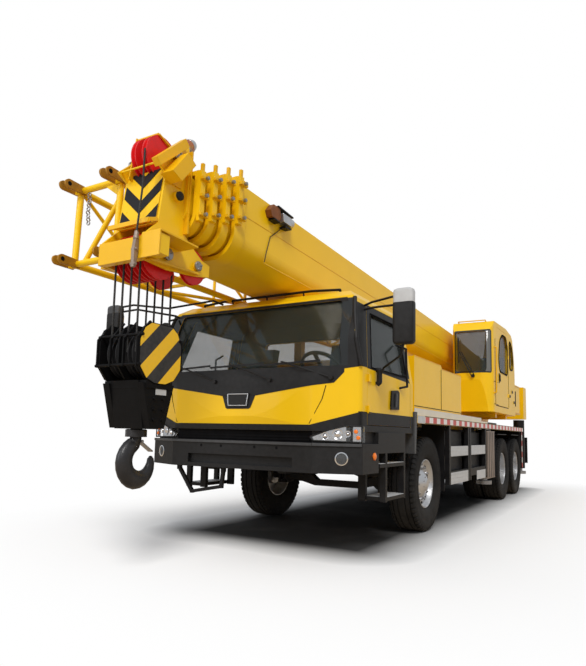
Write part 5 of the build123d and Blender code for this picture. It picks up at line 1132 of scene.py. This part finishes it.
# Stowed leg covers, and tapes, lamp boards and markers at the rear
for place, side, x in (("front_left", 1, -3.235), ("front_right", -1, -3.565)):
    beam = f"outrigger_beam_{place}"
    side_boxes(f"leg_cover_{place}", beam, BROWN_METAL, ((x - 0.335, x + 0.285), (1.2465, 1.2545), (0.455, 1.235)),
               sides=(side,))
    ribs = [((x + offset - 0.008, x + offset + 0.008), (1.2545, 1.26), (0.47, 1.22))
            for offset in (-0.3, -0.16, -0.02, 0.12, 0.25)]
    side_boxes(f"leg_ribs_{place}", beam, GREY_PLASTIC, *ribs, sides=(side,))
side_boxes("rear_post_tape", "chassis", TAPE_UP, ((-6.665, -6.655), (1.18, 1.2225), (0.5, 1.262)),
           ((-6.655, -6.585), (1.2225, 1.225), (0.5, 1.262)))
side_boxes("rear_lamp_boards", "chassis", BLACK, ((-7.575, -7.535), (0.86, 1.195), (0.56, 1.15)))
red_lamps, amber_lamps = Shape(), Shape()
for side in (1, -1):
    for y, z, shape in ((1.1, 1.06, red_lamps), (0.98, 1.06, amber_lamps), (1.1, 0.8, amber_lamps),
                        (0.98, 0.8, red_lamps)):
        shape.turned(at(-7.575, side * y, z), (-1, 0, 0), [(0.0, 0.05), (0.016, 0.048), (0.022, 0.03), (0.024, 0.0)],
                     24)
red_lamps.done("rear_red_lamps", "chassis", RED)
amber_lamps.done("rear_amber_lamps", "chassis", ORANGE)
side_boxes("rear_marker_posts", "chassis", BLACK, ((-6.655, -6.575), (1.185, 1.222), (0.48, 1.264)))

# ------------------------------------------------------------------ superstructure trims
chevrons = Shape()
chevrons.box(at(-7.7535, -0.895, 1.66), at(-7.7505, 0.895, 1.86))
for side in (1, -1):
    chevrons.prism([at(-7.75, side * 0.905, 1.66), at(-7.594, side * 1.178, 1.66), at(-7.594, side * 1.178, 1.86),
                    at(-7.75, side * 0.905, 1.86)], Vector((-0.868, side * 0.496, 0)) * 0.003)
chevrons.done("counterweight_tape", "superstructure",
              stripes("rear_stripes", (0, 1.0, 1.0), 0.24, (0.9, 0.5, 0.004), (0.012, 0.012, 0.013)))
eyes = Shape()
for side in (1, -1):
    for x in (-7.35, -7.62):
        eyes.turned(at(x, side * 0.85, 2.315), (0, 1, 0),
                    [(-0.014, 0.045), (0.014, 0.045), (0.014, 0.026), (-0.014, 0.026)], 20, looped=True)
eyes.done("counterweight_eyes", "superstructure", STEEL)

# Oil tank behind the operator's cab, and the rope wound on the winches
tank_fittings, tank_seams, gauge = Shape(), Shape(), Shape()
tank_fittings.turned(at(-6.15, 0.95, 2.258), (0, 0, 1),
                     [(0.0, 0.07), (0.012, 0.07), (0.016, 0.052), (0.052, 0.052), (0.058, 0.044), (0.058, 0.0)], 28)
tank_fittings.turned(at(-6.44, 0.82, 2.258), (0, 0, 1), [(0.0, 0.11), (0.014, 0.11), (0.02, 0.1), (0.02, 0.0)], 32)
for i in range(8):
    turn = math.pi * (i + 0.5) / 4
    spot = at(-6.44 + 0.09 * math.cos(turn), 0.82 + 0.09 * math.sin(turn), 2.274)
    tank_fittings.tube(spot, spot + Vector((0, 0, 0.014)), 0.009, 6)
tank_fittings.done("oil_tank_fittings", "superstructure", STEEL)
for z in (1.665, 2.238):
    tank_seams.bar(at(-6.64, 1.192, z), at(-5.96, 1.192, z), 0.014, 0.008)
for x in (-6.635, -5.965):
    tank_seams.bar(at(x, 1.192, 1.665), at(x, 1.192, 2.238), 0.014, 0.008)
tank_seams.done("oil_tank_seams", "superstructure", YELLOW_DEEP)
gauge.box(at(-6.08, 1.19, 1.8), at(-6.04, 1.204, 2.12))
gauge.done("oil_tank_gauge", "superstructure", DARK_HOLE)
winding = Shape()
for x, z in ((-6.87, 1.79), (-6.38, 1.74)):
    ridges = [(-0.322 + 0.014 * i, 0.178 if i % 2 else 0.19) for i in range(47)]
    winding.turned(at(x, 0, z), (0, 1, 0), [(-0.322, 0.15)] + ridges + [(0.322, 0.15)], 32)
winding.done("winch_rope", "superstructure", ROPE)
cable, clamps = Shape(), Shape()
cable_path = [on_boom(9.64, 0.452, 0.345), on_boom(8.6, 0.452, 0.33), on_boom(7.4, 0.45, 0.335),
              on_boom(5.2, 0.45, 0.33), on_boom(2.0, 0.45, 0.33)]
cable.pipe(cable_path, 0.014)
cable.done("boom_cable", "boom_base", PLASTIC)
for u in (9.3, 8.3, 7.3, 6.3, 5.3, 4.3, 3.3, 2.3):
    clamps.bar(on_boom(u - 0.03, 0.446, 0.333), on_boom(u + 0.03, 0.446, 0.333), 0.05, 0.036)
clamps.done("boom_cable_clamps", "boom_base", YELLOW_DEEP)

# Work lamp on the boom's side with its cable, weld seams and the doubler's edge
Y_SIDE = 0.4005
lamp_case, lamp_bowl, lamp_cable, welds = Shape(), Shape(), Shape(), Shape()
lamp_case.prism(boom_line(Y_SIDE, ((9.36, 0.34), (9.31, 0.41), (9.2, 0.41), (9.17, 0.33), (9.2, 0.28),
                                   (9.33, 0.285))), SIDE * 0.065)
lamp_frame = Shape()
lamp_frame.bar(on_boom(9.24, 0.418, 0.44), on_boom(8.96, 0.405, 0.44), 0.072, 0.014)
lamp_frame.bar(on_boom(9.3, 0.272, 0.44), on_boom(9.2, 0.268, 0.44), 0.072, 0.014)
lamp_frame.bar(on_boom(9.1, 0.262, 0.44), on_boom(8.99, 0.275, 0.44), 0.072, 0.018)
lamp_frame.done("boom_lamp_frame", "boom_base", BLACK)
lamp_bowl.prism(boom_line(0.405, ((9.17, 0.375), (9.01, 0.375), (8.985, 0.335), (9.01, 0.295), (9.15, 0.295))),
                SIDE * 0.08)
lamp_bowl.turned(on_boom(9.0, 0.335, 0.45), ALONG * -1 + SIDE * 0.25,
                 [(-0.03, 0.0), (-0.02, 0.036), (0.02, 0.046), (0.032, 0.046), (0.032, 0.0)], 24)
lamp_cable.pipe([on_boom(9.057, 0.29, 0.42), on_boom(9.15, 0.2, 0.409), on_boom(9.262, 0.113, 0.409),
                 on_boom(9.317, -0.054, 0.409), on_boom(9.343, -0.16, 0.409)], 0.004)
welds.bar(on_boom(9.69, 0.165, Y_SIDE), on_boom(1.2, 0.19, Y_SIDE), 0.009, 0.004, up=SIDE)
welds.bar(on_boom(9.346, -0.12, Y_SIDE), on_boom(9.342, -0.169, Y_SIDE), 0.01, 0.004, up=SIDE)
welds.bar(on_boom(9.342, -0.169, Y_SIDE), on_boom(1.6, -0.165, Y_SIDE), 0.01, 0.004, up=SIDE)
lamp_case.done("boom_lamp_case", "boom_base", LUG_BROWN)
lamp_bowl.done("boom_lamp", "boom_base", SILVER)
lamp_cable.done("boom_lamp_cable", "boom_base", PLASTIC)
welds.done("boom_weld_seams", "boom_base", YELLOW_DEEP)

fenders = Shape()
for side in (1, -1):
    ys = span(side, 1.1, 1.252)
    fenders.prism([at(x, ys[0], z) for x, z in ((0.595, 1.392), (0.69, 1.392), (0.69, 0.93), (0.64, 0.93))],
                  (0, ys[1] - ys[0], 0))
fenders.done("fender_posts", "chassis", GREY_PLASTIC)

# ------------------------------------------------------------------ camera, light and floor
camera_data = bpy.data.cameras.new("camera")
camera = bpy.data.objects.new("camera", camera_data)
scene = bpy.context.scene
bpy.context.collection.objects.link(camera)
scene.camera = camera
yaw, pitch, roll = math.radians(30.691), math.radians(6.0), math.radians(1.286)
forward = Vector((-math.cos(yaw) * math.cos(pitch), -math.sin(yaw) * math.cos(pitch), math.sin(pitch)))
right = forward.cross(Vector((0, 0, 1))).normalized()
upward = right.cross(forward)
right, upward = (right * math.cos(roll) + upward * math.sin(roll), upward * math.cos(roll) - right * math.sin(roll))
pose = Matrix((right, upward, -forward)).transposed().to_4x4()
pose.translation = Vector((FX + 6.818, 3.3147, 1.1213))
camera.matrix_world = pose
PHOTO_HEIGHT = 666               # pixels, as the lens and the shift are fitted
camera_data.lens = 571.16 / PHOTO_HEIGHT * 36
camera_data.shift_y = 40.46 / PHOTO_HEIGHT
camera_data.clip_start, camera_data.clip_end = 0.1, 300

scene.view_settings.view_transform = "Standard"

# World: white to the camera and through glass, and a set strength as light
world = bpy.data.worlds.new("studio")
scene.world = world
world.use_nodes = True
world.node_tree.nodes.clear()
sky = Tree(world.node_tree)
world_out = sky.add("ShaderNodeOutputWorld")
path = sky.add("ShaderNodeLightPath")
seen = sky.math("MAXIMUM", path.outputs["Is Camera Ray"], path.outputs["Is Transmission Ray"])
white = sky.set(sky.add("ShaderNodeBackground"), Color=(1, 1, 1, 1), Strength=1.0)
light = sky.set(sky.add("ShaderNodeBackground"), Color=(0.93, 0.96, 1.0, 1), Strength=0.55)
sky.blend(seen, light, white, world_out)


def lamp(name, kind, place, target, energy, size=1.0, colour=(1, 1, 1)):
    data = bpy.data.lights.new(name, kind)
    data.energy = energy
    data.color = colour
    if kind == "AREA":
        data.shape = "DISK"
        data.size = size
    else:
        data.angle = size
    obj = bpy.data.objects.new(name, data)
    obj.location = place
    obj.rotation_mode = "QUATERNION"
    obj.rotation_quaternion = (Vector(target) - Vector(place)).to_track_quat("-Z", "Y")
    bpy.context.collection.objects.link(obj)


lamp("key_sun", "SUN", (FX + 8, 6, 12), (FX, 0, 1), 2.0, size=0.35, colour=(1.0, 0.98, 0.95))
lamp("front_fill", "AREA", (FX + 11, -3, 5), (FX + 2, 0, 1.5), 260, size=6, colour=(0.95, 0.97, 1.0))

# Floor: white to the camera away from the crane; near it, to the camera, a painted shadow makes its colour dark under
# the crane's footprint, over the shade the lamps cast. To other rays the floor is a darker warm brown, which darkens
# and warms the light it bounces onto the crane's undersides
REACH = 60
floor_mesh = bpy.data.meshes.new("floor")
floor_mesh.from_pydata([(x, y, 0) for x, y in rect(-REACH, REACH, -REACH, REACH)], [], [(0, 1, 2, 3)])
floor = bpy.data.objects.new("floor", floor_mesh)
bpy.context.collection.objects.link(floor)
floor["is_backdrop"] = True
ground = Nodes("pale_floor")
x_out, y_out = ground.axes()[:2]


def beyond(value, middle, half):
    """Distance outside a band about a middle, along one axis."""
    away = ground.math("ABSOLUTE", ground.math("SUBTRACT", value, middle))
    return ground.math("MAXIMUM", ground.math("SUBTRACT", away, half), 0.0)


away_x, away_y = beyond(x_out, FX - 2.75, 4.3), beyond(y_out, 0.0, 0.95)
square = ground.math("ADD", ground.math("MULTIPLY", away_x, away_x), ground.math("MULTIPLY", away_y, away_y))
distance = ground.math("ADD", ground.math("SQRT", square), ground.math("MULTIPLY", ground.noise(1.4, 3.0), 0.1))
# Painted shadow: the floor's colour is near black over the crane's footprint and pales outward, with a noisy edge
under = ground.ramp(distance, (0.05, (0.05, 0.05, 0.05)), (0.75, (0.9, 0.9, 0.9)))
path = ground.add("ShaderNodeLightPath")
ground.link(ground.mix(path.outputs["Is Camera Ray"], (0.52, 0.42, 0.31), under), ground.shader.inputs["Base Color"])
ground.set(ground.shader, Roughness=0.9, Specular_IOR_Level=0.05)
fade = ground.ramp(ground.math("MULTIPLY", distance, 0.2), (0.16, (0, 0, 0)), (0.62, (1, 1, 1)))
seen = ground.math("MULTIPLY", fade, path.outputs["Is Camera Ray"])
plain = ground.set(ground.add("ShaderNodeEmission"), Color=(1, 1, 1, 1), Strength=1.0)
ground.blend(seen, ground.shader, plain, ground.tree.nodes["Material Output"])
floor_mesh.materials.append(ground.material)
floor.location.z = -0.001

# ------------------------------------------------------------------ end
size = {"cad": [list(cad_low), list(cad_high)], "visual": [list(v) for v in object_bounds()]}
